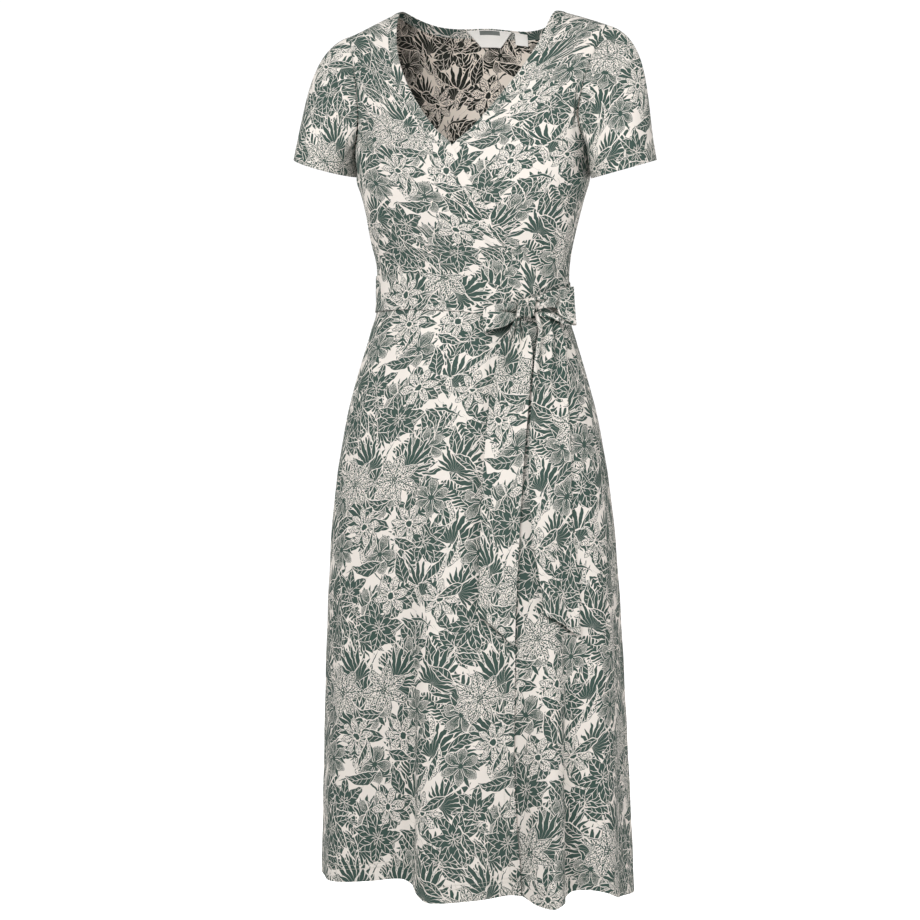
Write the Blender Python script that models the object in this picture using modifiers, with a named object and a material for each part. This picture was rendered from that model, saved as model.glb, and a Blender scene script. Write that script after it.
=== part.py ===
"""Wrap dress, filled out as it is worn: a hollow garment on a general figure.

Metres, +Z up, front towards -Y, the wearer's left at +X. The origin lies midway between the
two high shoulder points, where the wearer's shoulders carry the dress.

Every cloth piece lies on one surface, garment(turn, level). turn goes round the figure in
degrees: 0 is centre front, 90 the wearer's left side, 180 centre back and -90 the wearer's
right side. level is the height of the section at its middle. A layer that lies on another is
the same surface, lifted along its normal.
"""

import math
from collections import namedtuple

import bpy
from mathutils import Vector

# ---------------------------------------------------------------- sizes
WALL = 0.0013  # cloth wall
BAND_WALL = 0.0018  # doubled cloth of the neck band
BELT_WALL = 0.0016  # doubled cloth of the belt
BAND_WIDTH = 0.012
SHOULDER_HALF = 0.176  # shoulder point from the middle
NECK_HALF = 0.105  # high shoulder point from the middle
TOP = 0.0205  # level of the shoulder seam's section
ARMPIT = -0.187
WAIST = -0.384
BLUNT = 2.2  # exponent of the sections, 2 is an ellipse
SIDE_GAP = 0.0006  # between front and back at the side seams
SHOULDER_GAP = 0.0022  # between front and back at the shoulder seams
SEAM_GAP = 0.0004  # between pieces that join edge to edge
OVER_LIFT = 0.0032  # the over front lies this far out from the under front
WRAP_MIDDLE = -0.0035  # where the front edges cross, from centre front
SLOPE = 1.6  # how the shoulders run down: 1 is straight, 2 a round arch
HEM_MIDDLE = -1.136
OVER_COLUMNS = 24  # of the over skirt, side seam to wrap edge
SIDE_COLUMNS = 10  # from the wrap edge to the left side seam
UNDER_START = 7  # column of the over skirt where the hidden edge of the under one lies
BACK_REACH = 89.999  # from centre back, just short of the turn where the front begins
BACK_NECK = -0.0175  # level of the back neck edge at centre back
BACK_NECK_ROUND = 3.5  # how squarely the back neck turns up to the shoulders

BELT_WIDTH = 0.047
BELT_LIFT = 0.0023  # over the cloth below it
TAIL_LIFT = 0.0031  # over the cloth below it
KNOT_TURN = 40.0
KNOT_LEVEL = -0.398
KNOT_SIZE = Vector((0.022, 0.016, 0.029))  # along the belt, outwards, upwards

THREAD = 0.0009  # radius of a thread loop
LABEL_WALL = 0.0010

# ---------------------------------------------------------------- tables
# half: half width; front, side, back: y at centre front, sides and centre back;
# droop: how far the section's ends hang below its middle, as the shoulders slope
Section = namedtuple("Section", "level half front side back droop")
SECTIONS = (
    Section(0.0205, 0.1760, 0.0060, -0.0280, 0.0070, 0.0520),
    Section(0.0150, 0.1758, -0.0170, -0.0284, 0.0200, 0.0490),
    Section(0.0000, 0.1750, -0.0390, -0.0290, 0.0420, 0.0420),
    Section(-0.0250, 0.1730, -0.0600, -0.0300, 0.0600, 0.0340),
    Section(-0.0600, 0.1700, -0.0800, -0.0330, 0.0730, 0.0230),
    Section(-0.1000, 0.1650, -0.0970, -0.0360, 0.0810, 0.0130),
    Section(-0.1400, 0.1590, -0.1120, -0.0380, 0.0840, 0.0050),
    Section(-0.1870, 0.1555, -0.1270, -0.0400, 0.0830, 0.0000),
    Section(-0.2250, 0.1520, -0.1360, -0.0400, 0.0800, 0.0000),
    Section(-0.2560, 0.1430, -0.1385, -0.0400, 0.0770, 0.0000),
    Section(-0.2980, 0.1320, -0.1335, -0.0400, 0.0710, 0.0000),
    Section(-0.3400, 0.1245, -0.1250, -0.0400, 0.0650, 0.0000),
    Section(-0.3840, 0.1235, -0.1215, -0.0420, 0.0630, 0.0000),
    Section(-0.4240, 0.1300, -0.1300, -0.0480, 0.0720, 0.0000),
    Section(-0.4870, 0.1500, -0.1440, -0.0510, 0.0920, 0.0000),
    Section(-0.5710, 0.1690, -0.1580, -0.0510, 0.1110, 0.0000),
    Section(-0.6760, 0.1825, -0.1690, -0.0500, 0.1200, 0.0000),
    Section(-0.8640, 0.1915, -0.1790, -0.0480, 0.1290, 0.0000),
    Section(-1.0740, 0.1970, -0.1850, -0.0470, 0.1370, 0.0000),
    Section(-1.1450, 0.1980, -0.1860, -0.0470, 0.1390, 0.0000),
)

# soft folds of the skirt: reach is out from the section at the hem, fading to the waist
Fold = namedtuple("Fold", "turn reach")
FOLDS = (
    Fold(-90, 0.002),
    Fold(-68, -0.006),
    Fold(-47, 0.004),
    Fold(-27, -0.013),
    Fold(-14, -0.012),
    Fold(-3, 0.016),
    Fold(8, 0.011),
    Fold(23, -0.020),
    Fold(35, 0.018),
    Fold(51, -0.017),
    Fold(69, 0.008),
    Fold(92, -0.003),
    Fold(112, 0.012),
    Fold(131, -0.013),
    Fold(150, 0.013),
    Fold(170, -0.014),
    Fold(189, 0.011),
    Fold(207, -0.013),
    Fold(227, 0.012),
    Fold(248, -0.008),
)
FOLD_TOP = -0.43  # the folds begin here

# height of the hem round the skirt
Hem = namedtuple("Hem", "turn level")
HEM = (
    Hem(-90, -1.133),
    Hem(-60, -1.138),
    Hem(-46, -1.134),
    Hem(-31, -1.121),
    Hem(-14, -1.113),
    Hem(-8, -1.125),
    Hem(-2, -1.136),
    Hem(10, -1.130),
    Hem(23, -1.122),
    Hem(38, -1.139),
    Hem(53, -1.122),
    Hem(79, -1.138),
    Hem(110, -1.143),
    Hem(180, -1.138),
    Hem(240, -1.136),
)

# front edges of the bodice, measured from the line where they cross
Edge = namedtuple("Edge", "level x")
NECK_EDGE = (
    Edge(0.0205, 0.1050),
    Edge(-0.022, 0.0990),
    Edge(-0.059, 0.0900),
    Edge(-0.098, 0.0730),
    Edge(-0.141, 0.0460),
    Edge(-0.170, 0.0230),
    Edge(-0.1915, 0.0000),
)
OVER_EDGE = (
    Edge(-0.224, -0.0175),
    Edge(-0.272, -0.0475),
    Edge(-0.306, -0.0700),
    Edge(-0.331, -0.0900),
    Edge(-0.352, -0.0985),
    Edge(-0.384, -0.1065),
)
UNDER_EDGE = (
    Edge(-0.224, -0.0190),
    Edge(-0.272, -0.0480),
    Edge(-0.320, -0.0740),
    Edge(-0.384, -0.0950),
)
SKIRT_EDGE = (
    Edge(-0.384, 0.1030),
    Edge(-0.500, 0.0960),
    Edge(-0.700, 0.0910),
    Edge(-0.950, 0.0930),
    Edge(-1.145, 0.1020),
)

# the armhole, as turns from centre front and from centre back
Arm = namedtuple("Arm", "level front back")
ARMHOLE = (
    Arm(0.0205, 81.5, 81.5),
    Arm(0.0110, 79.5, 79.5),
    Arm(0.0000, 76.0, 76.5),
    Arm(-0.0250, 72.0, 73.0),
    Arm(-0.0600, 67.5, 69.5),
    Arm(-0.1000, 65.0, 67.0),
    Arm(-0.1400, 65.8, 67.0),
    Arm(-0.1650, 69.0, 70.0),
    Arm(-0.1790, 75.5, 76.0),
    Arm(-0.1870, 90.0, 90.0),
)

# middle line of the belt: it dips to the bow
Belt = namedtuple("Belt", "turn level")
BELT = (
    Belt(-40, -0.3745),
    Belt(0, -0.3780),
    Belt(28, -0.3920),
    Belt(46, -0.3980),
    Belt(75, -0.3950),
    Belt(120, -0.3790),
    Belt(180, -0.3745),
)

# the two hanging ends: left and right edge as seen from the front
Tail = namedtuple("Tail", "level left right")
TAIL_INNER = (
    Tail(-0.417, 0.078, 0.098),
    Tail(-0.468, 0.058, 0.098),
    Tail(-0.565, 0.048, 0.095),
    Tail(-0.680, 0.044, 0.093),
    Tail(-0.780, 0.042, 0.092),
    Tail(-0.820, 0.042, 0.092),
)
TAIL_OUTER = (
    Tail(-0.417, 0.100, 0.118),
    Tail(-0.468, 0.100, 0.133),
    Tail(-0.565, 0.099, 0.144),
    Tail(-0.660, 0.104, 0.151),
    Tail(-0.760, 0.116, 0.161),
    Tail(-0.808, 0.119, 0.163),
)

BODICE_LEVELS = (
    0.0205, 0.0150, 0.0050, -0.0150, -0.0400, -0.0700, -0.1050, -0.1400, -0.1660,
    -0.1800, -0.1870, -0.2150, -0.2500, -0.2900, -0.3250, -0.3510, -0.3745,
)
SKIRT_SHARES = (0.0, 0.018, 0.05, 0.12, 0.24, 0.40, 0.58, 0.78, 1.0)
NECK_SHARES = (0.0, 0.30, 0.56, 0.75, 0.87, 0.95, 1.0)  # along half of the back neck

CLOTH = (0.52, 0.55, 0.50, 1.0)
CLOTH_DARK = (0.40, 0.45, 0.41, 1.0)
LABEL_WHITE = (0.86, 0.85, 0.80, 1.0)


# ---------------------------------------------------------------- reading the tables
def slopes(keys, values):
    """Slopes of a smooth curve through the values that never overshoots them."""
    steps = [(b - a) / (k - j) for a, b, j, k in zip(values, values[1:], keys, keys[1:])]
    inner = [2 * p * q / (p + q) if p * q > 0 else 0.0 for p, q in zip(steps, steps[1:])]
    return [steps[0], *inner, steps[-1]]


def read(table, key):
    """The table's row at a key between its rows, as a tuple of the same kind."""
    rows = sorted(table)
    keys = [row[0] for row in rows]
    key = min(max(key, keys[0]), keys[-1])
    i = min(max(sum(k <= key for k in keys) - 1, 0), len(rows) - 2)
    span = keys[i + 1] - keys[i]
    t = (key - keys[i]) / span
    found = [key]
    for column in range(1, len(rows[0])):
        values = [row[column] for row in rows]
        slope = slopes(keys, values)
        a, b = values[i], values[i + 1]
        p, q = slope[i] * span, slope[i + 1] * span
        found.append(
            a * (2 * t**3 - 3 * t**2 + 1)
            + p * (t**3 - 2 * t**2 + t)
            + b * (3 * t**2 - 2 * t**3)
            + q * (t**3 - t**2)
        )
    return type(rows[0])(*found)


def read_round(table, turn):
    """The same for a table of turns that closes on itself."""
    kind = type(table[0])
    turn = (turn + 180.0) % 360.0 - 180.0
    rows = [kind(row[0] + shift, *row[1:]) for row in table for shift in (-360, 0, 360)]
    return read(rows, turn)


def ramp(value, start, end):
    """0 before start, 1 after end, smooth between."""
    t = min(max((value - start) / (end - start), 0.0), 1.0)
    return t * t * (3 - 2 * t)


# ---------------------------------------------------------------- the surface
def spread(value):
    return math.copysign(abs(value) ** (2 / BLUNT), value)


def skin(turn, level):
    """A point of the cloth surface."""
    s = read(SECTIONS, level)
    across, deep = math.sin(math.radians(turn)), math.cos(math.radians(turn))
    x = s.half * spread(across)
    ahead = deep > 0
    depth = (s.front if ahead else s.back) - s.side
    y = s.side + depth * abs(deep) ** (2 / BLUNT)
    gap = SIDE_GAP + (SHOULDER_GAP - SIDE_GAP) * ramp(level, -0.02, 0.01)
    y += -gap / 2 if ahead else gap / 2
    out = Vector((x, y - s.side, 0)).normalized()
    reach = read_round(FOLDS, turn).reach * ramp(level, FOLD_TOP, -1.30) ** 1.1 / 0.9
    z = level - s.droop * abs(x / SHOULDER_HALF) ** SLOPE
    return Vector((x, y, z)) + out * reach


def normal(turn, level):
    """Outward normal, measured within the front or the back half that the turn is on."""
    turn = (turn + 90.0) % 360.0 - 90.0
    middle = 0.0 if turn <= 90.0 else 180.0
    low, high = max(turn - 1, middle - 90.0), min(turn + 1, middle + 90.0)
    along = skin(high, level) - skin(low, level)
    up = skin(turn, min(level + 0.002, TOP)) - skin(turn, level - 0.002)
    return along.cross(up).normalized()


def garment(turn, level, lift=0.0):
    return skin(turn, level) + normal(turn, level) * lift


def turn_at(x, level):
    """The turn at which the front of a section has this x."""
    share = min(abs(x) / read(SECTIONS, level).half, 1.0)
    return math.copysign(math.degrees(math.asin(share ** (BLUNT / 2))), x)


def over_lift(turn, level):
    """Lift of the over front: none at its own side, armhole and shoulder seams."""
    outer = -read(ARMHOLE, level).front if level > ARMPIT else -90.0
    return OVER_LIFT * ramp(turn, outer + 4.0, outer + 28.0) * ramp(-level, 0.07, 0.15)


# ---------------------------------------------------------------- front edges
def wrap_middle(level):
    """Where the edges are measured from: it nears centre front up to the shoulders."""
    return WRAP_MIDDLE * (1 - ramp(level, -0.12, 0.0))


def over_edge(level):
    table = [Edge(e.level, -e.x) for e in (*NECK_EDGE, *OVER_EDGE)]
    return turn_at(wrap_middle(level) + read(table, level).x, level)


def under_edge(level):
    return turn_at(wrap_middle(level) + read([*NECK_EDGE, *UNDER_EDGE], level).x, level)


def inside(edge, level, distance, way):
    """The turn this far in from an edge, square to it; way is -1 or 1, towards the cloth."""
    turn = edge(level)
    above, below = min(level + 0.002, TOP), level - 0.002
    run = (skin(edge(above), above) - skin(edge(below), below)).normalized()
    ring = skin(turn + 0.5, level) - skin(turn - 0.5, level)
    slant = math.sqrt(max(1.0 - run.dot(ring.normalized()) ** 2, 0.15))
    return turn + way * distance / slant / ring.length


# ---------------------------------------------------------------- making objects
def collection(name):
    made = bpy.data.collections.new(name)
    bpy.context.scene.collection.children.link(made)
    return made


def material(name, colour, rough=0.85):
    made = bpy.data.materials.new(name)
    made.use_nodes = True
    shader = made.node_tree.nodes["Principled BSDF"]
    shader.inputs["Base Color"].default_value = colour
    shader.inputs["Roughness"].default_value = rough
    shader.inputs["Metallic"].default_value = 0.0
    return made


def cloth(name, rows, wall, colour, closed=False):
    """A cloth piece: an open sheet through rows of points, given its wall by Solidify."""
    width = len(rows[0])
    points = [point for row in rows for point in row]
    faces = []
    for r in range(len(rows) - 1):
        for c in range(width if closed else width - 1):
            d = (c + 1) % width
            faces.append((r * width + c, r * width + d, (r + 1) * width + d, (r + 1) * width + c))
    mesh = bpy.data.meshes.new(name)
    mesh.from_pydata(points, [], faces)
    mesh.shade_smooth()
    made = bpy.data.objects.new(name, mesh)
    made.data.materials.append(material(name, colour))
    thicken = made.modifiers.new("wall", "SOLIDIFY")
    thicken.thickness = wall
    thicken.offset = 0.0
    DRESS.objects.link(made)
    return made


def steps(start, end, count):
    return [start + (end - start) * i / count for i in range(count + 1)]


# ---------------------------------------------------------------- bodice
def bodice_front(name, side, edge, columns, lift):
    """side is -1 for the wearer's right front and 1 for the left one."""
    rows = []
    for level in (*BODICE_LEVELS, WAIST + SEAM_GAP):
        outer = side * read(ARMHOLE, level).front if level > ARMPIT else side * 90.0
        inner = inside(edge, level, BAND_WIDTH + SEAM_GAP, side)
        rows.append([garment(t, level, lift(t, level)) for t in steps(outer, inner, columns)])
    return cloth(name, rows, WALL, CLOTH)


def neck_band(name, side, edge, lift):
    rows = []
    for level in (*BODICE_LEVELS, WAIST + SEAM_GAP):
        ends = (edge(level), inside(edge, level, BAND_WIDTH, side))
        rows.append([garment(t, level, lift(t, level)) for t in steps(*ends, 1)])
    return cloth(name, rows, BAND_WALL, CLOTH_DARK)


def neck_line(share, width):
    """Back neck curve, or its parallel this far below: turn and level, share from -1 to 1."""
    reach = turn_at(NECK_HALF + width, TOP)
    level = BACK_NECK - width
    level += (TOP - level) * abs(share) ** BACK_NECK_ROUND
    return 180.0 - share * reach, level


def bodice_back():
    neck = turn_at(NECK_HALF + BAND_WIDTH + SEAM_GAP, TOP) / read(ARMHOLE, TOP).back
    half = [neck * k for k in NECK_SHARES]
    half += [neck + (1 - neck) * k for k in (0.33, 0.67, 1.0)]
    shares = [-k for k in reversed(half[1:])] + half
    rows = []
    for nominal in (*BODICE_LEVELS, WAIST + SEAM_GAP):
        row = []
        height = (nominal - WAIST) / (TOP - WAIST)
        reach = read(ARMHOLE, nominal).back if nominal > ARMPIT else BACK_REACH
        for share in shares:
            top = TOP
            if abs(share) < neck:
                top = neck_line(share / neck, BAND_WIDTH + SEAM_GAP)[1]
            row.append(garment(180.0 - share * reach, WAIST + height * (top - WAIST)))
        rows.append(row)
    return cloth("bodice_back", rows, WALL, CLOTH)


def neck_band_back():
    rows = []
    for width in (0.0, BAND_WIDTH - 2 * SEAM_GAP):
        shares = [-k for k in reversed(NECK_SHARES[1:])] + list(NECK_SHARES)
        rows.append([garment(*neck_line(share, width)) for share in shares])
    return cloth("neck_band_back", rows, BAND_WALL, CLOTH_DARK)


# ---------------------------------------------------------------- sleeves
SLEEVE_MIDDLE = Vector((0.1995, -0.041, -0.2065))  # of the sleeve's hem
SLEEVE_ACROSS = Vector((0.0405, 0.0, 0.0150))  # to the outer end of the hem
SLEEVE_DEEP = Vector((0.0, -0.0560, -0.0060))  # to the front end of the hem
SLEEVE_HANG = Vector((0.20, 0.0, -0.98))  # the way the sleeve hangs
SLEEVE_START = 0.0025  # from the armhole's edge, so that the two walls clear each other


def armhole_ring(count):
    """Points round the left armhole, from the underarm up the front and down the back."""
    levels = steps(ARMPIT, TOP, 60)
    line = [skin(read(ARMHOLE, level).front, level) for level in levels]
    line += [skin(180.0 - read(ARMHOLE, level).back, level) for level in reversed(levels[:-1])]
    lengths = [0.0]
    for a, b in zip(line, line[1:]):
        lengths.append(lengths[-1] + (b - a).length)
    ring = []
    for i in range(count):
        target = lengths[-1] * i / count
        k = max(j for j, length in enumerate(lengths[:-1]) if length <= target)
        t = (target - lengths[k]) / (lengths[k + 1] - lengths[k])
        ring.append(line[k].lerp(line[k + 1], t))
    return ring


def sleeve(name, side, count=20, bands=7):
    rows = []
    ring = armhole_ring(count)
    for s in steps(0.0, 1.0, bands):
        row = []
        for i, start in enumerate(ring):
            turn = 2 * math.pi * i / count
            upper = (1 - math.cos(turn)) / 2  # 0 at the underarm, 1 at the shoulder
            leave = Vector((0.31 + 0.65 * upper, -0.30 * math.sin(turn), -0.95 + 0.64 * upper))
            leave.normalize()
            a = start + leave * SLEEVE_START + Vector((0.0012 * (1 - upper), 0, 0))
            d = SLEEVE_MIDDLE - SLEEVE_ACROSS * math.cos(turn) + SLEEVE_DEEP * math.sin(turn)
            b = a + leave * (0.012 + 0.043 * upper)
            c = d - SLEEVE_HANG * (0.012 + 0.058 * upper)
            p = a * (1 - s) ** 3 + b * 3 * s * (1 - s) ** 2 + c * 3 * s**2 * (1 - s) + d * s**3
            row.append(Vector((side * p.x, p.y, p.z)))
        rows.append(row)
    return cloth(name, rows, WALL, CLOTH, closed=True)


# ---------------------------------------------------------------- skirt
def skirt_edge(level):
    return turn_at(read(SKIRT_EDGE, level).x, level)


def skirt_turns(level):
    """Turns of the columns of the front skirts: the under one has the same as the over one."""
    edge = skirt_edge(level)
    return steps(-90.0, edge, OVER_COLUMNS) + steps(edge, 90.0, SIDE_COLUMNS)[1:]


def skirt(name, first, last, turns, lift):
    """A skirt panel from column first to column last of the turns at each level."""
    rows = []
    for share in SKIRT_SHARES:
        row = []
        for turn in turns(WAIST + share * (HEM_MIDDLE - WAIST))[first : last + 1]:
            hem = read_round(HEM, turn).level
            level = WAIST - SEAM_GAP + share * (hem - WAIST + SEAM_GAP)
            row.append(garment(turn, level, lift(turn, level)))
        rows.append(row)
    return cloth(name, rows, WALL, CLOTH)


# ---------------------------------------------------------------- belt
def belt_lift(turn):
    """The belt lies on the over front, then steps down past its edge."""
    turn = (turn + 180.0) % 360.0 - 180.0
    return BELT_LIFT + over_lift(turn, WAIST) * (1 - ramp(turn, 70.0, 95.0))


def belt_level(turn, height):
    """height is -1 at the lower edge and 1 at the upper edge."""
    return read_round(BELT, turn).level + height * BELT_WIDTH / 2


def belt_band():
    arc = 0.0004 / 0.11 * 180 / math.pi
    turns = steps(KNOT_TURN + arc, KNOT_TURN + 360 - arc, 46)
    rows = [[garment(t, belt_level(t, h), belt_lift(t)) for t in turns] for h in (1, 0, -1)]
    return cloth("belt_band", rows, BELT_WALL, CLOTH_DARK)


def ring_speed(turn, level):
    """Metres along the section for one degree of turn."""
    return (skin(turn + 0.5, level) - skin(turn - 0.5, level)).length


def belt_knot():
    """A soft block on the belt, turned to face outwards."""
    bpy.ops.mesh.primitive_cube_add(size=1.0)
    made = bpy.context.active_object
    made.name = made.data.name = "belt_knot"
    made.data.transform(made.matrix_world)
    for corner in made.data.vertices:
        corner.co = Vector(a * b for a, b in zip(corner.co, KNOT_SIZE))
    lift = belt_lift(KNOT_TURN) + BELT_WALL / 2 + 0.0017 + KNOT_SIZE.y / 2
    made.location = garment(KNOT_TURN, KNOT_LEVEL, lift)
    made.rotation_mode = "QUATERNION"
    made.rotation_quaternion = normal(KNOT_TURN, KNOT_LEVEL).to_track_quat("-Y", "Z")
    soft = made.modifiers.new("soft", "BEVEL")
    soft.width = 0.0058
    soft.segments = 3
    made.data.materials.append(material("belt_knot", CLOTH_DARK))
    for holder in list(made.users_collection):
        holder.objects.unlink(made)
    DRESS.objects.link(made)
    return made


def bow_loop(name, way, reach, spans, opening, stray=0.0):
    """A loop of the bow: out from the knot in front, round its end and back behind.

    way is -1 towards centre front and 1 towards the side. reach is its length in degrees of
    turn, spans its upper and lower edge (from the knot's middle) at the knot and at its end,
    stray how far its end strays out from the belt.
    """
    start = (KNOT_SIZE.x / 2 - 0.0006) / ring_speed(KNOT_TURN, KNOT_LEVEL)
    (near_top, near_low), (far_top, far_low) = spans
    base = belt_lift(KNOT_TURN) + BELT_WALL / 2 + 0.0023
    rows = []
    for h in steps(0.0, 1.0, 3):
        row = []
        for t in steps(0.0, 1.0, 14):
            out = math.sin(math.pi * t) ** 0.75
            turn = KNOT_TURN + way * (start + reach * out)
            puff = 0.5 + 0.5 * math.cos(math.pi * t)
            lift = base + opening * puff + 0.0035 * puff * out + stray * out**2
            top = near_top + (far_top - near_top) * out
            low = near_low + (far_low - near_low) * out
            row.append(garment(turn, KNOT_LEVEL + top + (low - top) * h, lift))
        rows.append(row)
    return cloth(name, rows, BELT_WALL, CLOTH_DARK)


def belt_tail(name, table, slant, columns=4):
    """A hanging end: slant is how much shorter its left edge is than its right one."""
    top, bottom = table[0].level, table[-1].level
    rows = []
    for share in (0.0, 0.06, 0.13, 0.22, 0.34, 0.47, 0.60, 0.73, 0.86, 1.0):
        row = []
        for c in steps(0.0, 1.0, columns):
            level = top + share * (bottom + slant * (1 - c) - top)
            edge = read(table, level)
            x = edge.left + c * (edge.right - edge.left)
            past = x - read(SKIRT_EDGE, level).x
            lift = OVER_LIFT * (1 - ramp(past, 0.003, 0.018) * ramp(-level, 0.43, 0.48))
            lift += TAIL_LIFT + (BELT_LIFT - 0.0004) * (1 - ramp(-level, 0.425, 0.470))
            row.append(garment(turn_at(x, level), level, lift))
        rows.append(row)
    return cloth(name, rows, BELT_WALL, CLOTH_DARK)


def belt_loop(name, turn):
    """A thread loop on the side seam, standing off the belt that runs through it."""
    middle = read_round(BELT, turn).level
    reach = BELT_WIDTH / 2 + 0.004
    rest = WALL / 2 + THREAD + 0.0006
    stand = belt_lift(turn) + BELT_WALL / 2 + THREAD + 0.0010
    curve = bpy.data.curves.new(name, "CURVE")
    curve.dimensions = "3D"
    curve.bevel_depth = THREAD
    curve.bevel_resolution = 2
    curve.use_fill_caps = True
    line = curve.splines.new("POLY")
    count = 12
    line.points.add(count)
    for i, t in enumerate(steps(-1.0, 1.0, count)):
        lift = rest + (stand - rest) * (1 - ramp(abs(t), 0.82, 1.0))
        line.points[i].co = (*garment(turn, middle + t * reach, lift), 1.0)
    made = bpy.data.objects.new(name, curve)
    made.data.materials.append(material(name, CLOTH_DARK))
    DRESS.objects.link(made)
    return made


# ---------------------------------------------------------------- labels
def label(name, centre, top_width, low_width, drop):
    """A flat tab inside the back neck, its upper edge at the neck edge."""
    lift = -(BAND_WALL / 2 + LABEL_WALL / 2 + 0.0012)
    rows = []
    for h in steps(0.0, 1.0, 2):
        row = []
        for c in steps(-0.5, 0.5, 4):
            x = centre + c * (top_width + (low_width - top_width) * h)
            level = BACK_NECK - 0.0010 - drop * h
            row.append(garment(180.0 - turn_at(x, level), level, lift))
        rows.append(row)
    return cloth(name, rows, LABEL_WALL, LABEL_WHITE)


# ---------------------------------------------------------------- the dress
for old in list(bpy.data.objects):
    bpy.data.objects.remove(old)
DRESS = collection("wrap_dress")


def flat(turn, level):
    return 0.0


bodice_front("bodice_front_right", -1, over_edge, 14, over_lift)
bodice_front("bodice_front_left", 1, under_edge, 14, flat)
bodice_back()
neck_band("neck_band_right", -1, over_edge, over_lift)
neck_band("neck_band_left", 1, under_edge, flat)
neck_band_back()
sleeve("sleeve_right", -1)
sleeve("sleeve_left", 1)
last = OVER_COLUMNS + SIDE_COLUMNS
skirt("skirt_front_right", 0, OVER_COLUMNS, skirt_turns, over_lift)
skirt("skirt_front_left", UNDER_START, last, skirt_turns, flat)
skirt("skirt_back", 0, 26, lambda level: steps(180 - BACK_REACH, 180 + BACK_REACH, 26), flat)
belt_band()
belt_knot()
bow_loop("bow_loop_inner", -1, 19.5, ((0.009, -0.010), (0.002, -0.030)), 0.0070)
bow_loop("bow_loop_outer", 1, 31.0, ((0.011, -0.011), (0.026, -0.021)), 0.0110, 0.006)
belt_tail("belt_tail_inner", TAIL_INNER, 0.040)
belt_tail("belt_tail_outer", TAIL_OUTER, 0.028)
belt_loop("belt_loop_right", -90.0)
belt_loop("belt_loop_left", 90.0)
label("neck_label", -0.003, 0.062, 0.027, 0.021)
label("size_label", 0.041, 0.0175, 0.0175, 0.0150)
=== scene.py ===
"""Looks of the wrap dress: each cloth piece as a thin shell, with its print, light and camera.

turn goes round the figure in degrees: 0 is centre front, 90 the wearer's left side, 180 centre
back and -90 the wearer's right side. level is the height of a section at its middle. Sizes are
in metres, unless a name or a comment says mm. Every map "cut" holds a point's place on the flat
cloth in metres, and every map "edges" its distance from the hem and from the free front edge.
"""

import math
from collections import namedtuple

import bpy
import numpy as np
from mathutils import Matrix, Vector


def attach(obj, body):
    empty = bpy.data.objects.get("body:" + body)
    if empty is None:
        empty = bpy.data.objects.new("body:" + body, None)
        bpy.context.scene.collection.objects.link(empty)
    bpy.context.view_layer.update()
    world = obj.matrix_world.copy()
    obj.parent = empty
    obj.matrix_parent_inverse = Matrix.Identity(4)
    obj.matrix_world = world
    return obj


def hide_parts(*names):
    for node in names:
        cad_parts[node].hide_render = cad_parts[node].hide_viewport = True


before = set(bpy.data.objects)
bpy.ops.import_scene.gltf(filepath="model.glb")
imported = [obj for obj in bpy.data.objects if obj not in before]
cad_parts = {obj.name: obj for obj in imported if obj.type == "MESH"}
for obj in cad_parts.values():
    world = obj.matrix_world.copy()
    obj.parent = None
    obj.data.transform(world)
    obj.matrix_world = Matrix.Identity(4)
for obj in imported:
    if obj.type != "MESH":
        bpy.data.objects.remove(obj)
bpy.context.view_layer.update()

# ---------------------------------------------------------------- sizes
MM = 0.001
# thickness of the jersey, the folded band, the doubled belt and the labels
CLOTH, BAND, BELT, TAPE = 0.0007, 0.0015, 0.0014, 0.0005
BAND_WIDTH, BELT_WIDTH = 0.012, 0.047
BAND_OVERLAP, BAND_DIP = 0.0012, 0.0006  # how far the bodice runs under the band and sinks there
SHOULDER_HALF, NECK_HALF = 0.176, 0.105
TOP, ARMPIT, WAIST = 0.0205, -0.187, -0.384  # levels; TOP is that of the shoulder seams
HEM_MIDDLE = -1.136  # the mean level of the hem
BLUNT = 2.2  # how square the sections are; 2 would be an ellipse
SLOPE = 1.6  # how round the shoulders slope
SEAM_GAP = 0.0001  # between the front and the back, and the bodice and the skirt
OVER_LIFT = 0.0022  # the over front lies this far out from the under front
WRAP_MIDDLE = -0.0035  # x of the point where the two fronts cross
BACK_REACH = 89.999  # degrees from centre back to the side seam
BACK_NECK, BACK_NECK_ROUND = -0.0175, 3.1  # level at its middle, how square its curve is
NECK_RISE = 0.0026  # the neck sits a little higher on the wearer's right
NECK_TILT = 0.094  # and slants this much across
FOLD_TOP, FOLD_FULL = -0.43, -1.30  # levels between which the skirt's long folds grow
BELT_LIFT, TAIL_LIFT = 0.0020, 0.0027  # how far the belt and its ends lie off the dress
KNOT_LIFT, BOW_LIFT = 0.0029, 0.0012  # how far the knot and the loops lie off the belt
TAIL_TOP = -0.4075  # where the belt's ends come out of the knot
KNOT_TURN, KNOT_LEVEL = 40.0, -0.4015
KNOT_HALF = (0.011, 0.0080, 0.0145)  # along the belt, outwards, upwards
BODY_DEGREE, BELT_DEGREE, SLEEVE_DEGREE = 0.0024, 0.0020, 0.00105  # mean length of a degree
SLEEVE_LENGTH = 0.10
HEM_TURNING, EDGE_TURNING, CUFF_TURNING = 0.026, 0.017, 0.021  # how much is turned in and sewn

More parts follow.
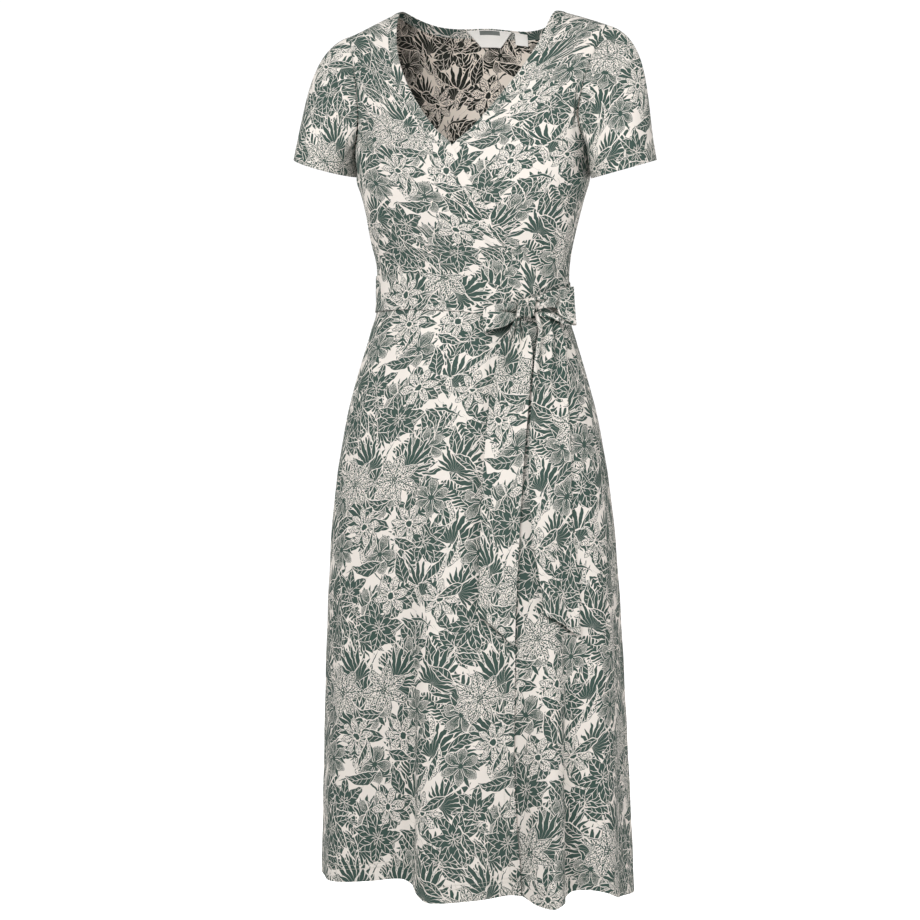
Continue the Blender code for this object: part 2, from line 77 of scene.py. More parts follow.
# ---------------------------------------------------------------- tables
# level, half width, y at the front, the side and the back, droop at the shoulder's end
SECTIONS = (
    (0.0205, 0.1760, 0.0060, -0.0280, 0.0070, 0.0520),
    (0.0150, 0.1758, -0.0170, -0.0284, 0.0200, 0.0490),
    (0.0000, 0.1750, -0.0390, -0.0290, 0.0420, 0.0420),
    (-0.0250, 0.1730, -0.0600, -0.0300, 0.0600, 0.0340),
    (-0.0600, 0.1700, -0.0800, -0.0330, 0.0730, 0.0230),
    (-0.1000, 0.1650, -0.0970, -0.0360, 0.0810, 0.0130),
    (-0.1400, 0.1590, -0.1120, -0.0380, 0.0840, 0.0050),
    (-0.1870, 0.1555, -0.1270, -0.0400, 0.0830, 0.0000),
    (-0.2250, 0.1520, -0.1360, -0.0400, 0.0800, 0.0000),
    (-0.2560, 0.1430, -0.1385, -0.0400, 0.0770, 0.0000),
    (-0.2980, 0.1320, -0.1335, -0.0400, 0.0710, 0.0000),
    (-0.3400, 0.1245, -0.1250, -0.0400, 0.0650, 0.0000),
    (-0.3840, 0.1235, -0.1215, -0.0420, 0.0630, 0.0000),
    (-0.4240, 0.1300, -0.1300, -0.0480, 0.0720, 0.0000),
    (-0.4870, 0.1500, -0.1440, -0.0510, 0.0920, 0.0000),
    (-0.5710, 0.1690, -0.1580, -0.0510, 0.1110, 0.0000),
    (-0.6760, 0.1825, -0.1690, -0.0500, 0.1200, 0.0000),
    (-0.8640, 0.1915, -0.1790, -0.0480, 0.1290, 0.0000),
    (-1.0740, 0.1970, -0.1850, -0.0470, 0.1370, 0.0000),
    (-1.1450, 0.1980, -0.1860, -0.0470, 0.1390, 0.0000),
)

# long folds of the skirt: turn, and how far out they stand at the hem
FOLDS = (
    (-90, 0.002), (-68, -0.006), (-47, 0.004), (-27, -0.013), (-14, -0.012), (-3, 0.016),
    (8, 0.011), (24, -0.020), (38, 0.018), (54, -0.017), (70, 0.008), (92, -0.003),
    (112, 0.012), (131, -0.013), (150, 0.013), (170, -0.014), (189, 0.011), (207, -0.013),
    (227, 0.012), (248, -0.008),
)

# height of the hem: turn, level
HEM = (
    (-94, -1.1420), (-88, -1.1310), (-80, -1.1240), (-60, -1.1240), (-46, -1.1225),
    (-31, -1.1175), (-16, -1.1110), (-12, -1.1160), (-8, -1.1210), (-2, -1.1340), (10, -1.1300),
    (20, -1.1285), (28, -1.1270), (33, -1.1370), (37, -1.1405), (42, -1.1370), (50, -1.1355),
    (56, -1.1250), (60, -1.1240), (76, -1.1360), (90, -1.1440), (112, -1.1490), (150, -1.1420),
    (180, -1.1380), (240, -1.1380),
)

# front edges of the bodice: level, x from the line where they cross
NECK_EDGE = (
    (0.0205, 0.1050), (-0.022, 0.0990), (-0.059, 0.0900), (-0.098, 0.0730),
    (-0.141, 0.0460), (-0.170, 0.0230), (-0.1915, 0.0000),
)
OVER_EDGE = (
    (-0.224, -0.0175), (-0.272, -0.0475), (-0.306, -0.0700), (-0.331, -0.0900),
    (-0.352, -0.0985), (-0.384, -0.1065),
)
UNDER_EDGE = ((-0.224, -0.0190), (-0.272, -0.0480), (-0.320, -0.0740), (-0.384, -0.0950))

# the wrap edge of the skirt: level, x
SKIRT_EDGE = (
    (-0.384, 0.1030), (-0.500, 0.0960), (-0.700, 0.0910), (-0.950, 0.0930), (-1.145, 0.1020),
)

# the armhole: level, turn from centre front, turn from centre back
ARMHOLE = (
    (0.0205, 81.5, 81.5), (0.0110, 79.5, 79.5), (0.0000, 76.0, 76.5), (-0.0250, 72.0, 73.0),
    (-0.0600, 67.5, 69.5), (-0.1000, 65.0, 67.0), (-0.1400, 65.8, 67.0), (-0.1650, 69.0, 70.0),
    (-0.1790, 75.5, 76.0), (-0.1870, 90.0, 90.0),
)

# middle line of the belt: turn, level
BELT_LINE = (
    (-40, -0.3745), (0, -0.3780), (28, -0.3920), (46, -0.3980), (75, -0.3950),
    (120, -0.3790), (180, -0.3745),
)

# the hanging ends: level, left and right edge as seen from the front
TAIL_INNER = (
    (-0.407, 0.0760, 0.0840), (-0.417, 0.0735, 0.0820), (-0.430, 0.0690, 0.0885),
    (-0.445, 0.0625, 0.0945), (-0.468, 0.0575, 0.0975), (-0.565, 0.0480, 0.0950),
    (-0.680, 0.0440, 0.0930), (-0.780, 0.0420, 0.0920), (-0.820, 0.0420, 0.0920),
)
TAIL_OUTER = (
    (-0.407, 0.0940, 0.1060), (-0.417, 0.0965, 0.1160), (-0.430, 0.0995, 0.1215),
    (-0.445, 0.0992, 0.1267), (-0.468, 0.0988, 0.1325), (-0.565, 0.0990, 0.1440),
    (-0.660, 0.1040, 0.1510), (-0.760, 0.1160, 0.1610), (-0.808, 0.1190, 0.1630),
)
# their folds: place at the top and further down as shares of the width, width, height in mm,
# and how far down it fades out
INNER_TAIL_FOLDS = (
    (0.10, 0.02, 0.10, 4.0, 0.13), (0.34, 0.22, 0.09, -3.4, 0.15),
    (0.52, 0.38, 0.09, 3.0, 0.12), (0.74, 0.62, 0.09, -3.0, 0.10),
    (0.92, 0.97, 0.08, 2.6, 0.09), (0.40, 0.30, 0.16, 1.6, 0.36),
    (0.75, 0.66, 0.14, -1.5, 0.32),
)
OUTER_TAIL_FOLDS = (
    (0.10, 0.04, 0.09, 3.6, 0.11), (0.32, 0.22, 0.09, -3.2, 0.15),
    (0.54, 0.48, 0.10, 3.2, 0.14), (0.76, 0.76, 0.08, -2.8, 0.12),
    (0.94, 0.96, 0.08, 2.0, 0.10), (0.55, 0.46, 0.16, 1.6, 0.38),
    (0.80, 0.86, 0.12, -1.4, 0.30),
)

# the bow's loops, from the knot (0) to the end (1), in mm from the knot's middle and from the
# belt: upper edge, lower edge in front and behind, how far the front, the back and the back's
# lower rim stand out
INNER_LOOP = (
    (0.0, 8.0, -11.0, -10.5, 3.0, 1.0, 1.5), (0.2, 7.5, -17.0, -15.5, 8.5, 1.0, 2.0),
    (0.45, 6.0, -24.0, -21.5, 11.5, 1.0, 2.5), (0.75, 3.0, -27.0, -26.0, 11.0, 2.0, 3.5),
    (1.0, -1.0, -30.0, -29.5, 7.0, 5.0, 6.0),
)
OUTER_LOOP = (
    (0.0, 12.5, -3.5, -8.0, 3.0, 1.0, 2.5), (0.18, 20.0, -0.5, -11.0, 11.0, 1.0, 9.0),
    (0.36, 25.0, 0.5, -15.0, 13.5, 1.0, 13.5), (0.49, 26.5, 0.0, -18.0, 13.5, 1.0, 14.0),
    (0.57, 27.5, -9.0, -19.5, 12.5, 1.5, 11.5), (0.66, 28.5, -15.0, -20.0, 13.0, 4.0, 10.0),
    (0.80, 30.5, -18.5, -20.5, 14.5, 7.0, 10.0), (1.0, 33.0, -21.0, -21.0, 14.5, 11.0, 11.0),
)
# their creases: mm from the knot and from its middle level, to the same, as for the body below
INNER_GROOVES = (
    (-14, -6.2, 24, -5.2, 1.3, -8.0, 0.55), (-12, 1.0, 20, 0.0, 3.8, 4.8, 0.50),
    (-12, 10.0, 24, 7.5, 1.8, -3.5, 0.45), (1, -13.0, 36, -22.0, 5.0, 2.4, 0.45),
    (14, 2.0, 34, -7.0, 2.0, -1.6, 0.45), (6, -17.5, 30, -26.0, 1.6, -1.6, 0.40),
)
OUTER_GROOVES = (
    (-10, 6.5, 24, 13.0, 1.7, -4.4, 0.45), (-10, 2.0, 22, 5.0, 2.4, 2.6, 0.50),
    (29, 0.0, 35, 17.0, 1.8, -6.0, 0.35), (-4, 12.0, 30, 20.5, 2.4, 2.2, 0.40),
    (36, -12.0, 47, 8.0, 3.5, 1.6, 0.50), (-8, -1.5, 12, 1.0, 1.3, -2.5, 0.50),
    (40, 18.0, 52, 26.0, 2.2, -1.6, 0.45),
)

# the knot's grooves: place and width as shares of its half length, depth in mm
KNOT_GROOVES = (
    (-0.70, 0.09, 2.0), (-0.34, 0.10, 3.0), (0.04, 0.08, 2.1), (0.38, 0.10, 3.1), (0.74, 0.09, 1.8)
)

# creases pressed into the cloth, each a soft trough or ridge: from turn and level to turn and
# level, width and height in mm (below 0 is a trough), and the share of its run where it peaks
BODY_CREASES = (
    # drawn up from the belt, the wearer's right front
    (-84, -0.348, -74, -0.268, 4.5, -2.2, 0.35), (-76, -0.351, -62, -0.246, 6.0, 2.3, 0.40),
    (-66, -0.350, -55, -0.280, 4.0, -2.6, 0.30), (-59, -0.351, -45, -0.258, 5.5, 2.0, 0.40),
    (-50, -0.350, -40, -0.292, 3.6, -2.2, 0.30), (-40, -0.350, -34, -0.300, 4.5, 1.3, 0.35),
    (-30, -0.352, -26, -0.312, 3.4, -0.9, 0.30), (-17, -0.353, -12, -0.296, 5.0, 0.8, 0.35),
    (-4, -0.355, -3, -0.318, 3.6, -0.7, 0.30),
    # across the over front, from the knot up to the bust
    (33, -0.366, -8, -0.282, 7.0, 1.4, 0.30), (31, -0.358, 2, -0.272, 4.2, -1.3, 0.35),
    (26, -0.344, 8, -0.262, 5.0, 1.1, 0.40), (20, -0.330, -22, -0.292, 8.0, -0.8, 0.5),
    # the wearer's left front
    (60, -0.366, 55, -0.290, 4.0, -1.6, 0.35), (67, -0.367, 60, -0.272, 5.0, 1.6, 0.35),
    (74, -0.366, 67, -0.282, 3.6, -1.7, 0.30), (81, -0.364, 73, -0.254, 5.5, 1.5, 0.40),
    (87, -0.362, 82, -0.276, 3.8, -1.5, 0.35), (50, -0.366, 47, -0.306, 4.0, 1.1, 0.35),
    # from the underarms to the bust
    (-87, -0.204, -58, -0.226, 7.0, -1.5, 0.30), (-86, -0.216, -60, -0.250, 6.0, 1.0, 0.35),
    (-72, -0.168, -50, -0.186, 6.0, -1.1, 0.30), (-70, -0.140, -52, -0.150, 6.0, 0.8, 0.35),
    (87, -0.206, 60, -0.232, 6.5, -1.4, 0.30), (86, -0.222, 64, -0.262, 6.0, 1.1, 0.35),
    (73, -0.172, 53, -0.196, 5.5, -1.1, 0.30), (69, -0.130, 50, -0.146, 7.0, 0.8, 0.35),
    (60, -0.078, 67, -0.180, 4.6, -4.8, 0.65), (-59, -0.080, -66, -0.178, 5.0, -2.6, 0.65),
    (118, -0.085, 110, -0.180, 5.0, -2.8, 0.60), (242, -0.085, 250, -0.180, 5.0, -2.8, 0.60),
    # shoulders and neck
    (-62, -0.030, -48, -0.110, 9.0, -0.8, 0.40), (60, -0.034, 45, -0.118, 9.0, -0.8, 0.45),
    # back of the bodice, up from the belt
    (97, -0.352, 105, -0.262, 5.0, -1.6, 0.35), (108, -0.352, 114, -0.280, 5.0, 1.3, 0.35),
    (119, -0.351, 123, -0.248, 6.0, -1.5, 0.40), (132, -0.351, 134, -0.296, 4.5, 1.2, 0.30),
    (144, -0.350, 147, -0.258, 6.5, -1.3, 0.40), (160, -0.350, 159, -0.288, 5.0, 1.2, 0.30),
    (176, -0.350, 173, -0.240, 7.5, -1.3, 0.40), (191, -0.350, 193, -0.290, 4.5, 1.1, 0.30),
    (205, -0.350, 203, -0.252, 6.5, -1.5, 0.40), (219, -0.351, 224, -0.296, 4.5, 1.3, 0.30),
    (231, -0.351, 236, -0.256, 6.0, -1.4, 0.40), (245, -0.351, 247, -0.286, 5.0, 1.2, 0.30),
    (257, -0.350, 263, -0.262, 4.5, -1.5, 0.35),
    (93, -0.206, 118, -0.236, 7.0, -1.4, 0.30), (267, -0.204, 243, -0.230, 7.0, -1.5, 0.30),
    (112, -0.120, 140, -0.176, 9.0, 0.9, 0.40), (248, -0.118, 222, -0.170, 9.0, 0.9, 0.40),
    (150, -0.320, 208, -0.312, 6.0, 1.3, 0.50), (158, -0.334, 214, -0.330, 5.0, -1.1, 0.45),
    # skirt, down from the belt
    (-85, -0.402, -88, -0.520, 5.0, -1.5, 0.25), (-76, -0.402, -78, -0.480, 4.5, 1.2, 0.25),
    (-66, -0.402, -68, -0.560, 6.5, -1.7, 0.25), (-56, -0.402, -58, -0.470, 4.0, 1.1, 0.25),
    (-46, -0.402, -46, -0.620, 7.5, 1.7, 0.30), (-37, -0.403, -38, -0.500, 4.5, -1.4, 0.25),
    (-27, -0.403, -29, -0.640, 7.0, -1.8, 0.30), (-18, -0.404, -18, -0.470, 4.0, 1.0, 0.25),
    (-9, -0.405, -9, -0.560, 6.0, 1.5, 0.30), (0, -0.406, 0, -0.490, 4.0, -1.3, 0.25),
    (9, -0.410, 9, -0.680, 8.0, 1.6, 0.30), (18, -0.414, 17, -0.520, 4.5, -1.4, 0.25),
    (26, -0.418, 24, -0.640, 6.5, -1.4, 0.30), (60, -0.424, 61, -0.560, 5.0, -1.6, 0.25),
    (68, -0.424, 69, -0.520, 5.0, 1.4, 0.25), (76, -0.423, 78, -0.600, 6.5, -1.6, 0.30),
    (85, -0.421, 86, -0.500, 4.5, 1.2, 0.25), (94, -0.418, 97, -0.580, 6.5, -1.6, 0.30),
    (103, -0.414, 105, -0.490, 4.5, 1.2, 0.25), (113, -0.408, 114, -0.640, 7.5, 1.6, 0.30),
    (123, -0.404, 124, -0.490, 4.5, -1.4, 0.25), (134, -0.403, 133, -0.600, 7.0, -1.6, 0.30),
    (144, -0.402, 145, -0.480, 4.0, 1.1, 0.25), (154, -0.401, 152, -0.660, 7.5, 1.6, 0.30),
    (165, -0.400, 166, -0.500, 4.5, -1.3, 0.25), (175, -0.400, 172, -0.580, 6.5, -1.5, 0.30),
    (186, -0.400, 188, -0.500, 4.5, 1.2, 0.25), (197, -0.400, 200, -0.640, 7.0, -1.3, 0.30),
    (208, -0.400, 207, -0.490, 4.5, -1.4, 0.25), (219, -0.401, 221, -0.570, 6.5, 1.5, 0.30),
    (231, -0.401, 232, -0.480, 4.0, -1.2, 0.25), (242, -0.401, 245, -0.620, 7.0, -1.6, 0.30),
    (254, -0.402, 256, -0.500, 4.5, 1.3, 0.25), (264, -0.402, 266, -0.560, 5.5, -1.3, 0.30),
    # skirt, longer and lower
    (-58, -0.600, -54, -1.060, 12.0, -2.0, 0.50), (-37, -0.640, -34, -1.120, 10.0, 2.2, 0.60),
    (-13, -0.600, -11, -1.170, 7.5, -6.5, 0.80), (16, -0.640, 15, -1.080, 10.0, -1.8, 0.55),
    (-2, -0.700, -1, -1.170, 11.0, 2.6, 0.75), (29, -0.840, 27, -1.170, 6.5, -4.0, 0.80),
    (48, -0.700, 52, -1.170, 7.0, -6.0, 0.80), (60, -0.700, 60, -1.120, 9.0, -1.8, 0.60),
    (80, -0.640, 79, -1.060, 12.0, 2.0, 0.50), (101, -0.700, 103, -1.130, 10.0, -2.0, 0.60),
    (122, -0.620, 120, -1.090, 11.0, 1.8, 0.55), (141, -0.720, 141, -1.140, 8.0, -2.0, 0.65),
    (161, -0.650, 160, -1.080, 10.0, 1.8, 0.55), (180, -0.760, 179, -1.150, 8.0, 2.0, 0.70),
    (198, -0.640, 198, -1.070, 11.0, -1.8, 0.50), (217, -0.740, 218, -1.150, 8.0, 2.0, 0.65),
    (238, -0.660, 237, -1.090, 10.0, -2.0, 0.55), (258, -0.700, 257, -1.130, 9.0, 1.8, 0.60),
)

# the same for a sleeve: degrees round it from the underarm (90 is the front), share down it
SLEEVE_CREASES = (
    (26, 0.02, 44, 0.95, 5.5, -2.4, 0.30), (46, 0.02, 66, 0.90, 6.0, 2.2, 0.30),
    (60, 0.05, 96, 0.80, 5.5, -1.3, 0.35), (-18, 0.05, -54, 0.95, 5.0, -1.8, 0.30),
    (-36, 0.05, -76, 0.90, 5.5, 1.5, 0.35), (-62, 0.05, -98, 0.80, 6.0, -1.2, 0.35),
    (112, 0.10, 128, 0.75, 8.0, 0.9, 0.45), (150, 0.05, 146, 0.55, 7.0, -0.8, 0.30),
    (196, 0.05, 204, 0.60, 8.0, -0.8, 0.30), (232, 0.10, 226, 0.80, 8.0, 0.9, 0.45),
)

# the same on the belt: turn and share of the half width
BELT_CREASES = (
    (36, 0.5, 4, 0.95, 3.0, -1.8, 0.20), (36, 0.2, -2, 0.35, 3.4, 1.5, 0.20),
    (36, -0.1, 6, -0.15, 2.8, -1.7, 0.20), (36, -0.5, 12, -0.80, 2.6, 1.2, 0.20),
    (46, 0.5, 82, 0.8, 3.0, -1.6, 0.25), (46, -0.1, 90, -0.3, 3.2, 1.3, 0.25),
    (-16, 0.4, -62, 0.1, 3.5, 0.35, 0.5),
    (-40, -0.5, -86, -0.2, 3.5, -0.4, 0.5), (110, 0.3, 156, 0.0, 3.5, -0.4, 0.5),
    (140, -0.4, 190, -0.1, 3.5, 0.4, 0.5), (196, 0.4, 244, 0.0, 3.5, -0.4, 0.5),
    (228, -0.2, 262, -0.5, 3.0, 0.4, 0.5),
)


# ---------------------------------------------------------------- reading the tables
def read(table, key):
    """The table's columns at keys between its rows, along a smooth curve."""
    rows = np.array(sorted(table), float)
    keys, values = rows[:, 0], rows[:, 1:]
    steps = np.diff(values, axis=0) / np.diff(keys)[:, None]
    before, after = steps[:-1], steps[1:]
    same = before * after > 0
    inner = np.where(same, 2 * before * after / np.where(same, before + after, 1.0), 0.0)
    slope = np.vstack([steps[:1], inner, steps[-1:]])
    key = np.clip(np.asarray(key, float), keys[0], keys[-1])
    i = np.clip(np.searchsorted(keys, key, "right") - 1, 0, len(keys) - 2)
    span = keys[i + 1] - keys[i]
    t = ((key - keys[i]) / span)[..., None]
    found = (
        values[i] * (2 * t**3 - 3 * t**2 + 1)
        + slope[i] * span[..., None] * (t**3 - 2 * t**2 + t)
        + values[i + 1] * (3 * t**2 - 2 * t**3)
        + slope[i + 1] * span[..., None] * (t**3 - t**2)
    )
    return [found[..., k] for k in range(found.shape[-1])]


def read_round(table, turn):
    rows = [(row[0] + shift, *row[1:]) for row in table for shift in (-360, 0, 360)]
    return read(rows, (np.asarray(turn, float) + 180.0) % 360.0 - 180.0)


def ramp(value, start, end):
    """0 before start, 1 after end, smooth between."""
    t = np.clip((np.asarray(value, float) - start) / (end - start), 0.0, 1.0)
    return t * t * (3 - 2 * t)


def bell(value, wide=1.0):
    """1 at 0, falling off softly on both sides over this width."""
    return np.exp(-((value / wide) ** 2))


def unit(vectors):
    return vectors / np.maximum(np.linalg.norm(vectors, axis=-1, keepdims=True), 1e-12)


def creased(across, up, table, degree, metre=1.0):
    """Height of the creases at points; degree and metre say how long a step of each is."""
    total = np.zeros(np.broadcast(across, up).shape)
    for turn, level, to_turn, to_level, wide, high, peak in table:
        run = np.array([(to_turn - turn) * degree, (to_level - level) * metre])
        length = np.linalg.norm(run)
        run /= length
        dx = ((across - turn + 180.0) % 360.0 - 180.0) * degree
        dy = (up - level) * metre
        along = (dx * run[0] + dy * run[1]) / length
        off = (dx * run[1] - dy * run[0]) / (wide * MM)
        off += 0.9 * (along - along**2)  # a slight bow in its run
        fade = ramp(along, -0.02, peak) * (1 - ramp(along, peak, 1.02))
        total += high * MM * fade * bell(off)
    return total


# ---------------------------------------------------------------- the surface
def skin(turn, level):
    """Points of the smooth cloth surface."""
    turn, level = np.broadcast_arrays(np.asarray(turn, float), np.asarray(level, float))
    half, front, side, back, droop = read(SECTIONS, level)
    across, deep = np.sin(np.radians(turn)), np.cos(np.radians(turn))
    ahead = deep > 0
    x = half * np.sign(across) * np.abs(across) ** (2 / BLUNT)
    y = side + (np.where(ahead, front, back) - side) * np.abs(deep) ** (2 / BLUNT)
    y = y + np.where(ahead, -SEAM_GAP / 2, SEAM_GAP / 2)
    out = unit(np.stack([x, y - side, np.zeros_like(x)], -1))
    reach = read_round(FOLDS, turn)[0] * ramp(level, FOLD_TOP, FOLD_FULL) ** 1.1 / 0.9
    z = level - droop * np.abs(x / SHOULDER_HALF) ** SLOPE
    inner = np.maximum(1 - (x / SHOULDER_HALF) ** 2, 0.0) ** 2
    z = z + (NECK_RISE - NECK_TILT * x) * inner * ramp(level, -0.14, 0.0)
    return np.stack([x, y, z], -1) + out * reach[..., None]


def normal(turn, level):
    turn = (np.asarray(turn, float) + 90.0) % 360.0 - 90.0
    turn, level = np.broadcast_arrays(turn, np.asarray(level, float))
    middle = np.where(turn <= 90.0, 0.0, 180.0)
    low, high = np.maximum(turn - 1, middle - 90.0), np.minimum(turn + 1, middle + 90.0)
    along = skin(high, level) - skin(low, level)
    up = skin(turn, np.minimum(level + 0.002, TOP)) - skin(turn, level - 0.002)
    return unit(np.cross(along, up))


def garment(turn, level, lift=0.0, creases=1.0):
    """Points on the dress, lifted along the surface's normal, creases included."""
    turn, level = np.broadcast_arrays(np.asarray(turn, float), np.asarray(level, float))
    high = creased(turn, level, BODY_CREASES, BODY_DEGREE)
    # the slight unevenness of soft cloth
    sway = np.sin(np.radians(turn * 3 + 40) + level * 31)
    sway = sway * np.sin(np.radians(turn * 5) - level * 47)
    high = high + 0.0005 * sway * ramp(-level, 0.02, 0.10)
    return skin(turn, level) + normal(turn, level) * (high * creases + lift)[..., None]


def turn_at(x, level):
    """The turn at which the surface has this x."""
    share = np.minimum(np.abs(x) / read(SECTIONS, level)[0], 1.0)
    return np.sign(x) * np.degrees(np.arcsin(share ** (BLUNT / 2)))


def armhole_front(level):
    return np.where(np.asarray(level) > ARMPIT, read(ARMHOLE, level)[0], 90.0)


def over_lift(turn, level):
    """How far out the over front lies: nothing at its seams, and full where the two cross."""
    outer = -armhole_front(level)
    return OVER_LIFT * ramp(turn - outer, 4.0, 28.0) * ramp(-np.asarray(level), 0.07, 0.15)


def no_lift(turn, level):
    return 0.0


def wrap_middle(level):
    """x of the line from which the tables of the front edges count."""
    return WRAP_MIDDLE * (1 - ramp(level, -0.12, 0.0))


def over_edge(level):
    table = [(a, -x) for a, x in (*NECK_EDGE, *OVER_EDGE)]
    return turn_at(wrap_middle(level) + read(table, level)[0], level)


def under_edge(level):
    return turn_at(wrap_middle(level) + read((*NECK_EDGE, *UNDER_EDGE), level)[0], level)


def inside(edge, level, distance, way):
    """The turn this far in from an edge, square to it."""
    turn = edge(level)
    above, below = np.minimum(level + 0.002, TOP), level - 0.002
    run = unit(skin(edge(above), above) - skin(edge(below), below))
    ring = skin(turn + 0.5, level) - skin(turn - 0.5, level)
    slant = np.sqrt(np.maximum(1.0 - (run * unit(ring)).sum(-1) ** 2, 0.15))
    return turn + way * distance / slant / np.linalg.norm(ring, axis=-1)


# ---------------------------------------------------------------- making meshes
def shares(count, fine=0.006):
    """0 to 1 in even steps, with closer ones at both ends for the turn at a seam."""
    ends = np.array([0.0, 0.25, 0.55, 1.0]) * fine
    return np.concatenate([ends, np.linspace(fine, 1 - fine, count)[1:-1], 1 - ends[::-1]])


def arc(points, axis):
    """Length along each row or column of a grid."""
    step = np.linalg.norm(np.diff(points, axis=axis), axis=-1)
    return np.concatenate([np.zeros_like(np.take(step, [0], axis)), np.cumsum(step, axis)], axis)


def from_edges(points):
    """Distance of each point of a grid from its first and last column and row."""
    across, down = arc(points, 1), arc(points, 0)
    return {
        "first": across, "last": across[:, -1:] - across, "top": down, "bottom": down[-1:] - down
    }


def cut_map(points, row=0, column=0, at=(0.0, 0.0), turned=0.0):
    """Where each point lay on the flat cloth, from one of the grid's own points."""
    across, down = arc(points, 1), arc(points, 0)
    flat = np.stack([across - across[:, [column]], down[[row], :] - down], -1)
    c, s = math.cos(math.radians(turned)), math.sin(math.radians(turned))
    return flat @ np.array([[c, s], [-s, c]]) + at


def turned_in(distance, deep, more):
    """The cloth's thickness, with this share more where its edge is turned in this deep."""
    return CLOTH * (1 + more * ramp(deep - distance, -0.0005, 0.0005))


def mesh_object(name, points, faces, maps, materials, slots):
    mesh = bpy.data.meshes.new(name)
    mesh.vertices.add(len(points))
    mesh.vertices.foreach_set("co", np.asarray(points, np.float32).ravel())
    corners = np.concatenate([np.asarray(face).ravel() for face in faces])
    sizes = np.concatenate([np.full(len(face), face.shape[1]) for face in faces])
    mesh.loops.add(len(corners))
    mesh.loops.foreach_set("vertex_index", corners.astype(np.int32))
    mesh.polygons.add(len(sizes))
    starts = np.concatenate([[0], np.cumsum(sizes)[:-1]])
    mesh.polygons.foreach_set("loop_start", starts.astype(np.int32))
    mesh.polygons.foreach_set("material_index", np.asarray(slots, np.int32))
    mesh.update(calc_edges=True)
    for label, values in maps.items():
        layer = mesh.uv_layers.new(name=label)
        layer.uv.foreach_set("vector", np.asarray(values, np.float32)[corners].ravel())
    mesh.shade_smooth()
    made = bpy.data.objects.new(name, mesh)
    for material in materials:
        mesh.materials.append(material)
    bpy.context.scene.collection.objects.link(made)
    return made


def facing(points, faces, out):
    """The faces, turned over if the first kind of them doesn't look this way."""
    a, b, c = (points[faces[0][:, k]] for k in range(3))
    looks = (np.cross(b - a, c - a) * out[faces[0][:, 0]]).sum()
    return [face[:, ::-1] for face in faces] if looks < 0 else faces


def grid_normal(points, outwards):
    face = unit(np.cross(np.gradient(points, axis=1), np.gradient(points, axis=0)))
    return -face if (face * outwards).sum() < 0 else face


def leading_out(points):
    """At the edge of a grid, the way that leads out of it along its own surface."""
    around = ((1, 1), (1, 1), (0, 0))
    grown = np.pad(points, around, mode="reflect", reflect_type="odd")
    spread = unit(grown - np.pad(points, around, mode="edge"))
    away = np.zeros_like(points)
    away[0] += spread[0, 1:-1]
    away[-1] += spread[-1, 1:-1]
    away[:, 0] += spread[1:-1, 0]
    away[:, -1] += spread[1:-1, -1]
    return unit(away)


def shell(name, points, thick, cut, materials, outwards, tucks=(), edges=None):
    """A closed shell round a grid of points: outer face, inner face and a rounded rim.

    cut and edges are its maps; a piece without edges has no hem. tucks names the sides that turn
    in to a seam.
    """
    maps = {"cut": cut, "edges": np.ones((*points.shape[:2], 2)) if edges is None else edges}
    inwards = from_edges(points)
    face = grid_normal(points, outwards)
    for side in tucks:
        points = points - face * (0.0005 * bell(inwards[side], 0.0018))[..., None]
    rows, columns = points.shape[:2]
    half = face * (np.broadcast_to(thick, (rows, columns)) / 2)[..., None]
    index = np.arange(rows * columns).reshape(rows, columns)
    loop = np.concatenate([index[0, :], index[1:, -1], index[-1, -2::-1], index[-2:0:-1, 0]])
    rim = points + leading_out(points) * np.linalg.norm(half, axis=-1, keepdims=True) * 0.9
    flat = rows * columns
    every = np.concatenate(
        [(points + half).reshape(-1, 3), (points - half).reshape(-1, 3), rim.reshape(-1, 3)[loop]]
    )
    a, b, c, d = index[:-1, :-1], index[:-1, 1:], index[1:, 1:], index[1:, :-1]
    outer = np.stack([a, d, c, b], -1).reshape(-1, 4)
    following = np.roll(loop, -1)
    ring = np.arange(len(loop)) + 2 * flat
    ring_next = np.roll(ring, -1)
    faces = [
        outer,
        outer[:, ::-1] + flat,
        np.stack([loop, following, ring_next, ring], -1),
        np.stack([ring, ring_next, following + flat, loop + flat], -1),
    ]
    faces = facing(every, faces, half.reshape(-1, 3))
    spread_maps = {
        label: np.concatenate([m.reshape(-1, 2), m.reshape(-1, 2), m.reshape(-1, 2)[loop]])
        for label, m in maps.items()
    }
    slots = [0] * len(outer) + [1] * len(outer) + [0] * (2 * len(loop))
    return mesh_object(name, every, faces, spread_maps, materials, slots)


def lump(name, rings, cut, material):
    """A closed form through rings of points, with a flat cap at both ends."""
    count, sides = rings.shape[:2]
    index = np.arange(count * sides).reshape(count, sides)
    after = np.roll(index, -1, axis=1)
    quads = np.stack([index[:-1], after[:-1], after[1:], index[1:]], -1).reshape(-1, 4)
    faces = [quads, index[:1, ::-1], index[-1:]]
    points = rings.reshape(-1, 3)
    faces = facing(points, faces, (rings - rings.mean(axis=1, keepdims=True)).reshape(-1, 3))
    maps = {"cut": cut.reshape(-1, 2)}
    return mesh_object(name, points, faces, maps, [material], [0] * (len(quads) + 2))


# ---------------------------------------------------------------- bodice
def even_levels(turn, top, bottom, spacing):
    """Levels from top to bottom, evenly spaced along the surface at this turn."""
    fine = np.linspace(top, bottom, 1200)
    length = arc(skin(np.full_like(fine, turn), fine), 0)
    return np.interp(shares(int(length[-1] / spacing)) * length[-1], length, fine)


